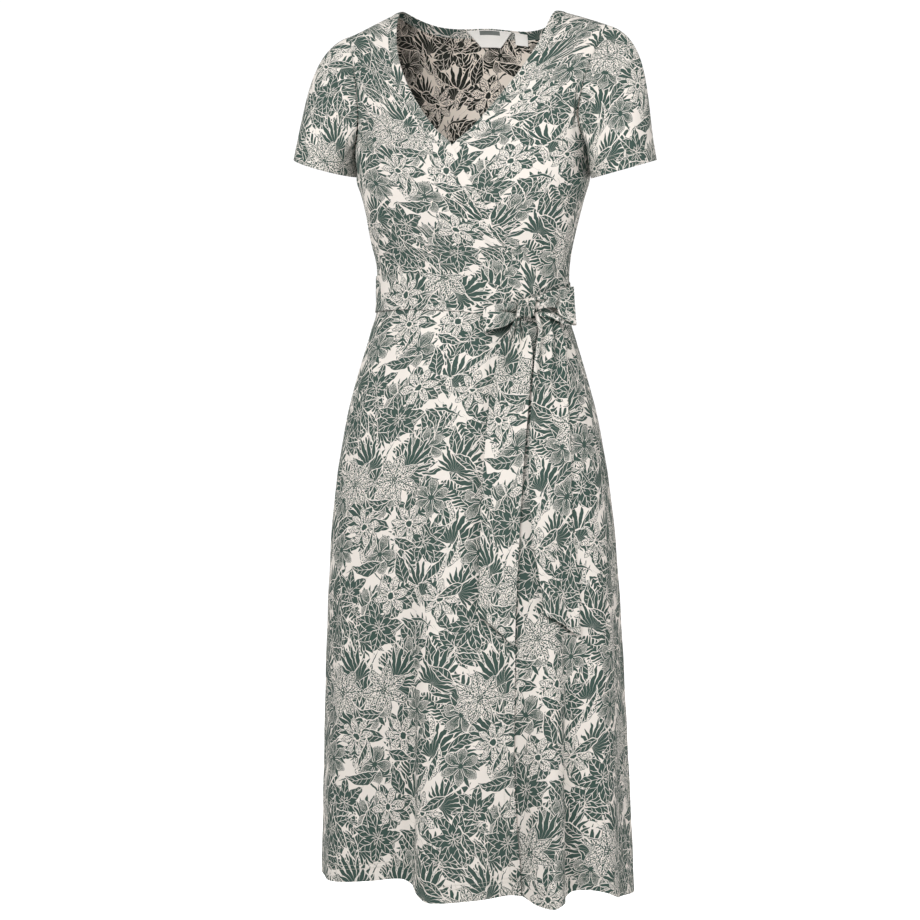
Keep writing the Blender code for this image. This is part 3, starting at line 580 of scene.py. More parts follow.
def bodice_front(name, side, edge, lift, at):
    columns = 92
    level = even_levels(side * 40.0, TOP, WAIST, 0.0030)[:, None]
    outer = side * armhole_front(level)
    inner = inside(edge, level, BAND_WIDTH - BAND_OVERLAP, side)
    turn = outer + (inner - outer) * shares(columns)[None, :]
    if side > 0:
        turn = turn[:, ::-1]
    seam, opening = ("first", "last") if side < 0 else ("last", "first")
    lifts = lift(turn, level)
    points = garment(turn, level, lifts)
    near = from_edges(points)[opening]
    points = garment(turn, level, lifts - BAND_DIP * bell(near, 0.003))
    cut = cut_map(points, -1, columns // 2, at)
    return shell(name, points, CLOTH, cut, JERSEY, normal(turn, level), ("top", seam))


def across_band():
    """Places across a neck band, closer at its edges, and how far it is rounded out there."""
    across = (1 - np.cos(np.linspace(0, np.pi, 13))) / 2
    return across, np.sin(np.pi * across) ** 0.6


def band_shell(name, points, crown, cut, outwards, tucks):
    thick = BAND * (0.45 + 0.55 * crown)
    return shell(name, points, thick, cut, BANDS, outwards, tucks)


def neck_band(name, side, edge, lift, at):
    level = even_levels(side * 40.0, TOP, WAIST, 0.0028)[:, None]
    start, end = edge(level), inside(edge, level, BAND_WIDTH, side)
    across, crown = across_band()
    turn = start + (end - start) * across[None, :]
    if side > 0:
        turn = turn[:, ::-1]
    points = garment(turn, level, lift(turn, level) + 0.0004 * crown)
    cut = cut_map(points, 0, 0, at, 38.0)
    return band_shell(name, points, crown, cut, normal(turn, level), ("top",))


def neck_line(share, width):
    """Back neck curve, or its parallel this far below."""
    level = BACK_NECK - width
    level = level + (TOP - level) * np.abs(share) ** BACK_NECK_ROUND
    return 180.0 - share * turn_at(NECK_HALF + width, TOP), level


def bodice_back(name):
    tuck = BAND_WIDTH - BAND_OVERLAP
    neck = turn_at(NECK_HALF + tuck, TOP) / read(ARMHOLE, TOP)[1]
    share = np.sort(np.concatenate([1 - 2 * shares(150), [neck, -neck]]))[::-1]
    height = (even_levels(140.0, TOP, WAIST, 0.0030)[:, None] - WAIST) / (TOP - WAIST)
    top = np.where(np.abs(share) < neck, neck_line(share / neck, tuck)[1], TOP)[None, :]
    nominal = WAIST + height * (TOP - WAIST)
    reach = np.where(nominal > ARMPIT, read(ARMHOLE, nominal)[1], BACK_REACH)
    turn, level = 180.0 - share[None, :] * reach, WAIST + height * (top - WAIST)
    points = garment(turn, level)
    drop = from_edges(points)["top"]
    under_band = ramp(neck - np.abs(share), 0.0, 0.03)[None, :] * bell(drop, 0.003)
    points = garment(turn, level, -BAND_DIP * under_band)
    cut = cut_map(points, -1, len(share) // 2, (0.071, 0.133))
    return shell(name, points, CLOTH, cut, JERSEY, normal(turn, level), ("first", "last"))


def neck_band_back(name):
    share = np.linspace(1, -1, 141)[None, :]
    across, crown = (values[:, None] for values in across_band())
    turn, level = neck_line(share, across * (BAND_WIDTH - 0.0004))
    turn, level = np.broadcast_arrays(turn, level)
    points = garment(turn, level, 0.0004 * crown)
    cut = cut_map(points, 0, 70, (0.19, 0.02), 52.0)
    return band_shell(name, points, crown, cut, normal(turn, level), ("first", "last"))


# ---------------------------------------------------------------- sleeves
SLEEVE_MIDDLE = np.array([0.1995, -0.041, -0.2065])  # of the cuff
SLEEVE_ACROSS = np.array([0.0405, 0.0, 0.0150])  # half the cuff, from its middle to its outer side
SLEEVE_DEEP = -0.0560  # half the cuff, from its middle to the front
SLEEVE_HANG = np.array([0.20, 0.0, -0.98])  # the way the sleeve runs at the cuff
# how each hangs: its front edge lower than its back one, the whole hem lower, its outer side
# lower than the inner one, and how far its cap is rounded out
Hang = namedtuple("Hang", "front whole outer cap")
HANGS = {1: Hang(0.0095, 0.0115, 0.0050, 0.053), -1: Hang(0.0055, -0.0013, 0.0022, 0.045)}


def armhole_ring(turns):
    """Points round the left armhole at these degrees from the underarm, front first."""
    levels = np.linspace(ARMPIT, TOP, 400)
    front = skin(read(ARMHOLE, levels)[0], levels)
    back = skin(180.0 - read(ARMHOLE, levels)[1], levels)[::-1]
    line = np.concatenate([front, back[1:]])
    length = arc(line, 0)
    wanted = turns / 360.0 * length[-1]
    return np.stack([np.interp(wanted, length, line[:, k]) for k in range(3)], -1)


def sleeve(name, side, at):
    degrees = shares(150, 0.008) * 360.0
    turn = np.radians(degrees)
    ring = armhole_ring(degrees)
    upper = ((1 - np.cos(turn)) / 2)[:, None]
    rise = upper[:, 0]
    leave = unit(np.stack([0.31 + 0.65 * rise, -0.30 * np.sin(turn), -0.95 + 0.64 * rise], -1))
    # a curve from the armhole (a) to the cuff (d), by way of b and c
    a = ring + leave * 0.0002 + np.array([0.0010, 0, 0]) * (1 - upper)
    hang = HANGS[side]
    deep = np.array([0.0, SLEEVE_DEEP, -hang.front])
    d = SLEEVE_MIDDLE - SLEEVE_ACROSS * np.cos(turn)[:, None] + deep * np.sin(turn)[:, None]
    d = d - np.array([0, 0, 1.0]) * (hang.whole - hang.outer * np.cos(turn))[:, None]
    b = a + leave * (0.012 + hang.cap * upper)
    c = d - SLEEVE_HANG * (0.012 + 0.058 * upper)
    s = shares(52, 0.012)[:, None, None]
    points = a * (1 - s) ** 3 + 3 * b * s * (1 - s) ** 2 + 3 * c * s**2 * (1 - s) + d * s**3
    outwards = points - points.mean(axis=1, keepdims=True)
    high = creased(degrees[None, :], s[..., 0], SLEEVE_CREASES, SLEEVE_DEGREE, SLEEVE_LENGTH)
    points = points + grid_normal(points, outwards) * high[..., None]
    hem = from_edges(points)["bottom"]
    thick = turned_in(hem, CUFF_TURNING, 0.8)
    points = points * np.array([side, 1.0, 1.0])
    outwards = outwards * np.array([side, 1.0, 1.0])
    if side < 0:  # keeps the columns running the same way round, seen from outside
        points, outwards, hem, thick = (x[:, ::-1] for x in (points, outwards, hem, thick))
    cut = cut_map(points, -1, points.shape[1] // 2, at)
    edges = np.stack([hem, np.ones_like(hem)], -1)
    return shell(name, points, thick, cut, JERSEY, outwards, ("top", "first", "last"), edges)


# ---------------------------------------------------------------- skirt
def skirt(name, turns, lift, column, at, tucks, free_edge=False):
    """A skirt panel: turns gives the columns at each level."""
    share = shares(178, 0.003)[:, None]
    turn = turns(WAIST + share * (HEM_MIDDLE - WAIST))
    low = read_round(HEM, turn)[0]
    level = WAIST - SEAM_GAP + share * (low - WAIST + SEAM_GAP)
    lifts = lift(turn, level)
    if free_edge:  # the free edge stands off a little
        near = (skirt_edge(level) - turn) * 0.0029  # a degree is longer here
        lifts = lifts + 0.0012 * bell(near, 0.010) * ramp(-level, 0.50, 0.70)
    points = garment(turn, level, lifts)
    inwards = from_edges(points)
    hem, side = inwards["bottom"], np.ones_like(level + turn)
    thick = turned_in(hem, HEM_TURNING, 0.7)
    if free_edge:
        side = inwards["last"]
        thick = np.maximum(thick, turned_in(side, EDGE_TURNING, 0.7))
    cut, edges = cut_map(points, 0, column, at), np.stack([hem, side], -1)
    return shell(name, points, thick, cut, JERSEY, normal(turn, level), tucks, edges)


def skirt_edge(level):
    return turn_at(read(SKIRT_EDGE, level)[0], level)


def over_turns(level):
    edge = skirt_edge(level)
    return -90.0 + (edge + 90.0) * shares(158, 0.004)[None, :]


def under_turns(level):
    edge = skirt_edge(level)
    start = -90.0 + (edge + 90.0) * 7 / 24  # what lies further under the over front isn't made
    return start + (90.0 - start) * shares(150, 0.004)[None, :]


def back_turns(level):
    return 180.0 + BACK_REACH * (2 * shares(180, 0.003)[None, :] - 1) + 0 * level


# ---------------------------------------------------------------- belt
def belt_lift(turn):
    turn = (np.asarray(turn, float) + 180.0) % 360.0 - 180.0
    return BELT_LIFT + over_lift(turn, WAIST) * (1 - ramp(turn, 70.0, 95.0))


def belt_point(turn, height, lift):
    """A point on the belt: height is -1 at its lower edge and 1 at its upper one."""
    level = read_round(BELT_LINE, turn)[0] + height * BELT_WIDTH / 2
    return garment(turn, level, lift, 0.0)


def belt_thickness(height):
    return BELT * (0.35 + 0.65 * (1 - height**2) ** 0.35)


def belt_band(name):
    turn = KNOT_TURN + shares(300, 0.002)[None, :] * 359.5 + 0.25  # its ends meet at the knot
    height = np.cos(np.linspace(0, np.pi, 25))[:, None]
    away = np.minimum(turn - KNOT_TURN, KNOT_TURN + 360 - turn)
    drawn = bell(away, 17.0)  # the belt is drawn together at the knot
    spread = height * (1 - 0.26 * drawn)
    pleats = 0.0011 * drawn * np.cos(height * 9.0 + 0.6 + turn * 0.05)
    scaled = creased(turn, height, BELT_CREASES, BELT_DEGREE, BELT_WIDTH / 2)
    rolled = 0.0005 * np.cos(np.pi * height / 2)
    lift = belt_lift(turn) + pleats * 0.8 + scaled + rolled * 0.6 + 0.0004 * drawn
    points = belt_point(turn, spread, lift)
    cut = cut_map(points, 12, 0, (0.031, 0.207), 90.0)
    outwards = normal(turn, belt_point(turn, spread, 0)[..., 2])
    return shell(name, points, belt_thickness(height), cut, BELTS, outwards)


def at_knot(points):
    """From along the belt, outwards and upwards at the knot to the dress's own axes."""
    out = normal(KNOT_TURN, KNOT_LEVEL)
    up = unit(np.array([0, 0, 1.0]) - out * out[2])
    along = np.cross(up, out)
    frame_axes = np.stack([-along if along[0] < 0 else along, out, up])
    lift = belt_lift(KNOT_TURN) + BELT / 2 + KNOT_LIFT + KNOT_HALF[1]
    return garment(KNOT_TURN, KNOT_LEVEL, lift, 0.0) + points @ frame_axes


def belt_knot(name):
    """The turn of the belt that wraps the bow's middle, drawn into soft pleats."""
    across = np.linspace(-1, 1, 74)[:, None]
    round_it = np.linspace(0, 2 * np.pi, 96, endpoint=False)[None, :]
    end = 0.34 + 0.66 * (1 - np.abs(across) ** 2.6).clip(0.0) ** 0.50
    pinch = 1 - 0.12 * bell(across + 0.1, 0.40)
    c, s = np.cos(round_it), np.sin(round_it)
    out = np.sign(c) * np.abs(c) ** 0.90 * KNOT_HALF[1] * end
    up = np.sign(s) * np.abs(s) ** 0.90 * KNOT_HALF[2] * (0.55 + 0.45 * end) * pinch
    lean = across + 0.24 * np.sin(round_it + 0.5) + 0.05 * np.sin(3 * round_it)
    grooves = sum(depth * bell(lean - place, wide) for place, wide, depth in KNOT_GROOVES)
    out = out - np.sign(c) * MM * grooves * np.abs(c) ** 0.4
    up = up * (1 - 0.035 * grooves)
    tilt = 0.0034 * up / KNOT_HALF[2]
    local = np.stack([across * KNOT_HALF[0] + tilt + 0 * c, out, up], -1)
    cut = np.stack([across * KNOT_HALF[0] * 1.6 + 0 * c, round_it * 0.012 + 0 * across], -1)
    return lump(name, at_knot(local), cut + np.array([0.302, 0.118]), BELTS[0])


def ring_speed(turn, level):
    """Length of a degree here."""
    return float(np.linalg.norm(skin(turn + 0.5, level) - skin(turn - 0.5, level)))


def bow_loop(name, way, reach, outline, grooves, at):
    """A loop of the bow: out from the knot in front, round its end and back behind."""
    start = (KNOT_HALF[0] - 0.0025) / ring_speed(KNOT_TURN, KNOT_LEVEL)
    h = np.linspace(0, 1, 61)[:, None]
    t = np.linspace(0, 1, 141)[None, :]
    out = np.sin(np.pi * t) ** 0.75
    front = ramp(-t, -0.60, -0.40)  # 1 in front, 0 behind
    top, low_front, low_back, stand_front, stand_back, rim = (
        MM * column for column in read(outline, out)
    )
    low = low_back + (low_front - low_back) * front
    stand = stand_back + (stand_front - stand_back) * front
    stand = stand + (rim - stand_back) * (1 - front) * ramp(h, 0.70, 0.88)
    # rounded out in its middle, and drawn in at its lower edge beside the knot
    crown = 0.0016 * np.sin(np.pi * h) * out * front - 0.0020 * h**6 * front * (1 - out)
    level = top + (low - top) * h
    across = reach * out * ring_speed(KNOT_TURN, KNOT_LEVEL)
    pressed = creased(across / MM, level / MM, grooves, MM, MM)
    lift = belt_lift(KNOT_TURN) + BELT / 2 + BOW_LIFT + stand + crown + pressed * front
    turn = KNOT_TURN + way * (start + reach * out) + 0 * level
    points = garment(turn, KNOT_LEVEL + level, lift, 0.0)
    cut = cut_map(points, 20, 0, at, 90.0 * way)
    thick = BELT * 0.85 * (0.4 + 0.6 * np.sin(np.pi * h) ** 0.4)
    outwards = normal(turn, KNOT_LEVEL + level) * np.where(t < 0.5, 1.0, -1.0)[..., None]
    return shell(name, points, thick, cut, BELTS, outwards)


def belt_tail(name, table, slant, folds, at):
    """A hanging end: slant is how much shorter its left edge is than its right one."""
    bottom = table[-1][0]
    share = np.linspace(0, 1, 190)[:, None] ** 1.15
    c = np.linspace(0, 1, 45)[None, :]
    level = TAIL_TOP + share * (bottom + slant * (1 - c) - TAIL_TOP)
    left, right = read(table, level)
    x = left + c * (right - left)
    # off the over front and, past the wrap edge, off the under one; at its top, off the belt
    past = x - read(SKIRT_EDGE, level)[0]
    lift = OVER_LIFT * (1 - ramp(past, 0.003, 0.018) * ramp(-level, 0.43, 0.48))
    lift = lift + TAIL_LIFT + (BELT_LIFT + 0.0028) * (1 - ramp(-level, 0.425, 0.470))
    drop = TAIL_TOP - level
    for place, later, wide, high, ends in folds:
        line = place + (later - place) * np.minimum(drop / 0.10, 1.5)
        fade = ramp(drop, -0.01, 0.006) * (1 - ramp(drop, 0.2 * ends, ends))
        lift = lift + MM * high * fade * bell(c - line, wide)
    # a slow wave, both edges standing off and the low end too
    lift = lift + 0.0010 * np.sin(drop * 34 + c * 2.2) * ramp(drop, 0.05, 0.16)
    stands_off = 0.0048 * (1 - c) ** 7 + 0.0012 * c**7
    lift = lift + stands_off * ramp(drop, 0.01, 0.06) + 0.0026 * ramp(share, 0.93, 1.0)
    turn = turn_at(x, level)
    points = garment(turn, level, lift, 0.5)
    cut = cut_map(points, 0, 22, at)
    return shell(name, points, belt_thickness(2 * c - 1), cut, BELTS, normal(turn, level))


def belt_loop(name, turn):
    """A chain of thread on the side seam that the belt runs through."""
    middle = float(read_round(BELT_LINE, turn)[0])
    reach = BELT_WIDTH / 2 + 0.0035
    radius = 0.0008
    rest = CLOTH / 2 + radius + 0.0002
    stand = float(belt_lift(turn)) + BELT / 2 + radius + 0.0005
    t = np.linspace(-1, 1, 61)
    lift = rest + (stand - rest) * (1 - ramp(np.abs(t), 0.82, 1.0))
    path = garment(turn, middle + t * reach, lift, 0.0)
    run = unit(np.gradient(path, axis=0))
    out = unit(normal(turn, middle + t * reach))
    out = unit(out - run * (out * run).sum(-1, keepdims=True))
    side = np.cross(run, out)
    angle = np.linspace(0, 2 * np.pi, 12, endpoint=False)[None, :]
    links = 1 + 0.22 * np.cos(2 * angle + t[:, None] * 40)
    rings = path[:, None, :] + radius * links[..., None] * (
        np.cos(angle)[..., None] * out[:, None, :] + np.sin(angle)[..., None] * side[:, None, :]
    )
    cut = np.stack([angle * radius + 0 * t[:, None], t[:, None] * reach + 0 * angle], -1)
    return lump(name, rings, cut, THREAD)


# ---------------------------------------------------------------- labels
def label(name, centre, top_width, low_width, drop, material):
    """A tab sewn inside the back neck by its upper edge; its lower part hangs free."""
    h = np.linspace(0, 1, 25)[:, None]
    c = np.linspace(-0.5, 0.5, 49)[None, :]
    x = centre + c * (top_width + (low_width - top_width) * h)
    level = BACK_NECK - 0.0010 - drop * h + 0 * c
    stand = 0.0012 * h**2 + 0.0003 * np.sin(9 * c + 2 * h) * h
    lift = -(BAND / 2 + 0.0010 + stand)
    turn = 180.0 - turn_at(x, level)
    points = garment(turn, level, lift)
    cut = np.stack([-(x - centre), -drop * h + 0 * c], -1)
    return shell(name, points, TAPE, cut, [material] * 2, -normal(turn, level))


# ---------------------------------------------------------------- shader sums
NUMBER, VECTOR, COLOUR = "NodeSocketFloat", "NodeSocketVector", "NodeSocketColor"


class Term:
    """A number in a node tree that sums can be written with."""

    def __init__(self, tree, socket):
        self.tree, self.socket = tree, socket

    def __add__(self, other):
        return calculate(self.tree, "ADD", self, other)

    def __sub__(self, other):
        return calculate(self.tree, "SUBTRACT", self, other)

    def __rsub__(self, other):
        return calculate(self.tree, "SUBTRACT", other, self)

    def __mul__(self, other):
        return calculate(self.tree, "MULTIPLY", self, other)

    def __truediv__(self, other):
        return calculate(self.tree, "DIVIDE", self, other)

    def __pow__(self, other):
        return calculate(self.tree, "POWER", self, other)

    def __neg__(self):
        return calculate(self.tree, "MULTIPLY", self, -1.0)

    def __abs__(self):
        return calculate(self.tree, "ABSOLUTE", self)

    def of(self, operation, *others):
        return calculate(self.tree, operation, self, *others)

    __radd__, __rmul__ = __add__, __mul__


def plug(tree, value, socket):
    """Give a socket a link or a fixed value."""
    if isinstance(value, Term):
        tree.links.new(value.socket, socket)
    elif isinstance(value, bpy.types.NodeSocket):
        tree.links.new(value, socket)
    elif value is not None:
        socket.default_value = value


def add_node(tree, kind, *values, **settings):
    """A new node with these settings; the values go to its sockets in turn, None leaves one out."""
    made = tree.nodes.new(kind)
    for label, setting in settings.items():
        setattr(made, label, setting)
    for value, socket in zip(values, made.inputs):
        plug(tree, value, socket)
    return made


def calculate(tree, operation, *values, clamp=False):
    made = add_node(tree, "ShaderNodeMath", *values, operation=operation, use_clamp=clamp)
    return Term(tree, made.outputs[0])


def sharp(distance, soft=0.35):
    """1 where the distance is above 0, 0 where it is below, over a narrow edge."""
    return calculate(distance.tree, "MULTIPLY_ADD", distance, 1.0 / soft, 0.5, clamp=True)


def stripes(value, share):
    """1 over this share of each whole step of the value, with edges a tenth of a step soft."""
    wave = abs(value.of("FRACT") - 0.5)
    return calculate(value.tree, "MULTIPLY_ADD", share * 0.5 - wave, 10.0, 0.5, clamp=True)


def blend(low, high, share):
    """A mix of two numbers: the low one where the share is 0, the high one where it is 1."""
    made = add_node(share.tree, "ShaderNodeMix", share, None, low, high)
    return Term(share.tree, made.outputs[0])


def group(name, inputs, outputs):
    """A new node group, and what it is given by name."""
    tree = bpy.data.node_groups.new(name, "ShaderNodeTree")
    for label, kind in inputs.items():
        tree.interface.new_socket(label, in_out="INPUT", socket_type=kind)
    for label, kind in outputs.items():
        tree.interface.new_socket(label, in_out="OUTPUT", socket_type=kind)
    start = add_node(tree, "NodeGroupInput")
    return tree, {label: Term(tree, start.outputs[label]) for label in inputs}


def give(tree, **values):
    """The group's outputs."""
    end = add_node(tree, "NodeGroupOutput")
    for label, value in values.items():
        plug(tree, value, end.inputs[label])


def use(tree, made, **values):
    """Put a group in a tree; gives its outputs by name."""
    part = add_node(tree, "ShaderNodeGroup", node_tree=made)
    for label, value in values.items():
        plug(tree, value, part.inputs[label])
    return {socket.name: Term(tree, socket) for socket in part.outputs}


def mix_colours(tree, share, low, high):
    """The same of two colours."""
    skipped = [None] * 5  # its sockets for numbers and vectors
    made = add_node(tree, "ShaderNodeMix", share, *skipped, low, high, data_type="RGBA")
    return made.outputs[2]


def noise(tree, point, scale, detail, output="Fac"):
    made = add_node(tree, "ShaderNodeTexNoise", point, None, scale, detail, noise_dimensions="2D")
    return Term(tree, made.outputs[output])


def split(tree, vector):
    made = add_node(tree, "ShaderNodeSeparateXYZ", vector)
    return [Term(tree, socket) for socket in made.outputs]


def join(tree, *parts):
    return add_node(tree, "ShaderNodeCombineXYZ", *parts).outputs[0]


def vector_sum(tree, operation, *values):
    made = add_node(tree, "ShaderNodeVectorMath", *values, operation=operation)
    return made.outputs["Value" if operation == "LENGTH" else 0]


def scatter(tree, dims, place, number):
    """Random numbers that stay the same for the same place and number."""
    made = add_node(tree, "ShaderNodeTexWhiteNoise", place, number, noise_dimensions=dims)
    return Term(tree, made.outputs["Value"]), made.outputs["Color"]


# ---------------------------------------------------------------- the print
MOTIF_IN = {"Place": VECTOR, "Size": NUMBER, "Chance": NUMBER, "Net": NUMBER, "Dots": NUMBER}
MOTIF_OUT = {"Ink": NUMBER, "Cover": NUMBER}
REPEAT_WIDE, REPEAT_HIGH = 204.0, 264.0  # mm
NET_SCALE = 0.80  # cells of the net in a mm


def print_layout():
    """Cells that repeat over the cloth: where a point lies in its cell's own motif, in mm."""
    numbers = dict.fromkeys(("Seed", "Jitter", "Lean", "Sway"), NUMBER)
    inputs = {"Point": VECTOR, "Cells": VECTOR, **numbers}
    tree, given = group("print layout", inputs, {"Place": VECTOR, "Chance": NUMBER})
    cells, seed, jitter = given["Cells"], given["Seed"], given["Jitter"]
    repeat = (REPEAT_WIDE, REPEAT_HIGH, 1.0)
    # every row of cells is slid along by its own random share, the same in each repeat
    start = join(tree, seed * 0.37, seed * 0.61)
    density = vector_sum(tree, "DIVIDE", cells, repeat)
    point = vector_sum(tree, "MULTIPLY_ADD", given["Point"], density, start)
    _, y, _ = split(tree, point)
    _, down, _ = split(tree, cells)
    row = y.of("FLOOR").of("FLOORED_MODULO", down) + seed * 17.3
    slide, _ = scatter(tree, "1D", None, row)
    point = vector_sum(tree, "ADD", point, join(tree, slide, 0.0, 0.0))
    cell = vector_sum(tree, "WRAP", vector_sum(tree, "FLOOR", point), cells, (0.0, 0.0, 0.0))
    chance, random = scatter(tree, "4D", cell, seed)
    # the motif's middle lies off the cell's own by up to half the jitter
    size = vector_sum(tree, "DIVIDE", repeat, cells)
    shift = join(tree, jitter * 0.5, jitter * 0.5, 0.0)
    middle = vector_sum(tree, "MULTIPLY_ADD", size, (-0.5, -0.5, 0.0), shift)
    place = vector_sum(tree, "MULTIPLY_ADD", vector_sum(tree, "FRACTION", point), size, middle)
    back = join(tree, -jitter, -jitter, 0.0)
    place = vector_sum(tree, "MULTIPLY_ADD", random, back, place)
    flat = vector_sum(tree, "MULTIPLY", place, (1.0, 1.0, 0.0))
    _, _, b = split(tree, random)
    angle = given["Lean"] + (b - 0.5) * given["Sway"]
    spin = add_node(
        tree, "ShaderNodeVectorRotate", flat, None, None, angle, rotation_type="Z_AXIS"
    )
    give(tree, Place=spin.outputs[0], Chance=chance)
    return tree


def about(tree, given, rise=0.0):
    """x, y, distance and angle from up, about a point this share of the size below the middle."""
    place = given["Place"]
    if rise:
        place = vector_sum(tree, "ADD", place, join(tree, 0.0, given["Size"] * rise, 0.0))
    x, y, _ = split(tree, place)
    return x, y, Term(tree, vector_sum(tree, "LENGTH", place)), x.of("ARCTAN2", y)


def fan_leaf():
    """Pointed fingers that spread from a short stalk."""
    tree, given = group("fan leaf", MOTIF_IN, MOTIF_OUT)
    size = given["Size"]
    x, y, far, angle = about(tree, given, 0.62)
    step = 0.27  # angle from one finger to the next
    finger = (angle / step).of("ROUND").of("MINIMUM", 6.0).of("MAXIMUM", -6.0)
    off = abs(angle - finger * step)
    reach = far / (size * (1.62 - abs(finger) * 0.135))
    side = ((step * 0.5) * (1.01 - reach ** 2.8) - off) * far
    stalk = (size * 0.03 - abs(x)).of("MINIMUM", size * 0.3 + y).of("MINIMUM", 1.0 - y)
    body = side.of("MAXIMUM", stalk)
    give(tree, Ink=sharp(body), Cover=sharp(body + 0.8))
    return tree


def many_petals():
    """An open flower: pale pointed petals with short strokes, round a dark eye."""
    tree, given = group("many petals", MOTIF_IN, MOTIF_OUT)
    size = given["Size"]
    _, _, far, angle = about(tree, given)
    count = (given["Chance"] * 2.99).of("FLOOR") + 6.0
    side = abs((angle * count / (2 * math.pi)).of("FRACT") - 0.5) * 2.0
    reach = far / size
    edge = 1.0 - reach ** 3.2
    wide = far * math.pi / count
    inner = (edge * 0.90 - side) * wide
    share = side / edge.of("MAXIMUM", 0.05)
    strokes = stripes((far - share * size * 0.25) / (size * 0.115), 0.60)
    strokes = strokes * sharp(0.78 - share, 0.12)
    vein = sharp(0.34 - side * wide + (0.46 - reach) * 3.2)
    petal = (strokes * given["Dots"]).of("MAXIMUM", vein)
    petal = blend(petal, sharp(size * 0.15 - far), sharp(size * 0.23 - far))
    ink = blend(1.0, petal, sharp(inner))
    give(tree, Ink=ink, Cover=sharp(inner + 0.8).of("MAXIMUM", sharp(size * 0.6 - far)))
    return tree


def netted_flower():
    """Broad petals with a pale rim, hatched from the vein and netted further out."""
    tree, given = group("netted flower", MOTIF_IN, MOTIF_OUT)
    size = given["Size"]
    _, _, far, angle = about(tree, given)
    count = (given["Chance"] * 1.99).of("FLOOR") + 5.0
    side = abs((angle * count / (2 * math.pi)).of("FRACT") - 0.5) * 2.0
    reach = far / size
    wide = far * math.pi / count
    inner = (1.0 - reach ** 4.0 - side) * wide
    net = sharp(0.33 - given["Net"] - reach * 0.08, 0.2)
    hatch = stripes((angle + side * side * 0.2) * count * 2.2, 0.45)
    hatch = hatch * sharp(0.66 - reach, 0.1)
    vein = sharp(0.45 - side * wide + (0.5 - reach) * 1.6)
    petal = net.of("MAXIMUM", hatch) * sharp(inner - 1.5)
    ink = blend(1.0, petal.of("MAXIMUM", vein), sharp(inner - 0.75))
    give(tree, Ink=ink, Cover=sharp(inner + 0.3).of("MAXIMUM", sharp(size * 0.5 - far)))
    return tree


def bent_across(tree, given, bend):
    """x from a rib that bends, and y as a share of the size."""
    x, y, _ = split(tree, given["Place"])
    share = y / given["Size"]
    return x + (share * share - 0.3) * given["Size"] * (given["Chance"] - 0.5) * bend, y, share


def blade_leaf():
    """A pointed leaf with a pale rib and side veins; on some, one half is stippled."""
    tree, given = group("blade leaf", MOTIF_IN, MOTIF_OUT)
    size = given["Size"]
    x, y, share = bent_across(tree, given, 0.8)
    off = abs(x)
    half = (1.0 - share * share).of("MAXIMUM", 0.0) ** 1.1 * size * (0.33 - share * 0.11)
    inner = half - off - 0.3
    veins = stripes((y - off * 1.1) / 7.0, 0.095) * sharp(inner - 1.2)
    pale = sharp(0.34 - off).of("MAXIMUM", veins)
    pale = pale.of("MAXIMUM", given["Dots"] * sharp(x) * sharp(given["Chance"] - 0.7, 0.01))
    ink = sharp(inner) * (1.0 - pale).of("MAXIMUM", sharp(0.5 - inner))
    give(tree, Ink=ink, Cover=sharp(inner + 1.2))
    return tree


def comb_leaf():
    """A curved rib with close blades on both sides, as on a fern or a cut leaf."""
    tree, given = group("comb leaf", MOTIF_IN, MOTIF_OUT)
    size = given["Size"]
    x, y, share = bent_across(tree, given, 1.0)
    off = abs(x)
    half = (1.0 - share * share).of("MAXIMUM", 0.0) ** 0.6 * size * 0.42
    inner = half - off - 0.3
    blades = stripes((y - off * 0.75) / 5.4, 0.90 - off / half.of("MAXIMUM", 1.0) * 0.45)
    ink = sharp(inner) * blades.of("MAXIMUM", sharp(0.7 - off))
    give(tree, Ink=ink, Cover=sharp(inner + 0.3))
    return tree


def leaf_star():
    """Several blades from one point, ribbed and veined; on some they are pale and spotted."""
    tree, given = group("leaf star", MOTIF_IN, MOTIF_OUT)
    size = given["Size"]
    _, _, far, angle = about(tree, given, 0.12)
    step = 0.86  # angle from one blade to the next
    blade = (angle / step).of("ROUND").of("MINIMUM", 3.0).of("MAXIMUM", -3.0)
    off = abs(angle - blade * step) * far
    reach = far / (size * (1.12 - abs(blade) * 0.06))
    half = (reach * (1.0 - reach)).of("MAXIMUM", 0.0) ** 0.75 * size * 0.66
    inner = half - off - 0.25
    veins = stripes((far - off * 1.3) / 8.0, 0.095) * sharp(inner - 1.1)
    pale = sharp(0.34 - off).of("MAXIMUM", veins)
    dark = (1.0 - pale).of("MAXIMUM", sharp(0.5 - inner))
    light = given["Dots"] * stripes((far - off * 1.6) / 5.0, 0.75) * sharp(inner - 1.1)
    light = light.of("MAXIMUM", sharp(0.5 - off))
    light = light.of("MAXIMUM", sharp(0.8 - inner))
    body = blend(dark, light, sharp(given["Chance"] - 0.65, 0.01))
    ink = blend(sharp(inner + 0.3), body, sharp(inner))
    give(tree, Ink=ink, Cover=sharp(inner + 1.2))
    return tree


def curved_stem():
    """A stem that bends round, thinner at both ends."""
    tree, given = group("curved stem", MOTIF_IN, MOTIF_OUT)
    size = given["Size"]
    x, y, _ = split(tree, given["Place"])
    share = y / size
    line = (1.0 - share * share) * 1.9 - abs(x + share * share * size * 0.5 - size * 0.2)
    give(tree, Ink=sharp(line), Cover=sharp(line + 0.6))
    return tree


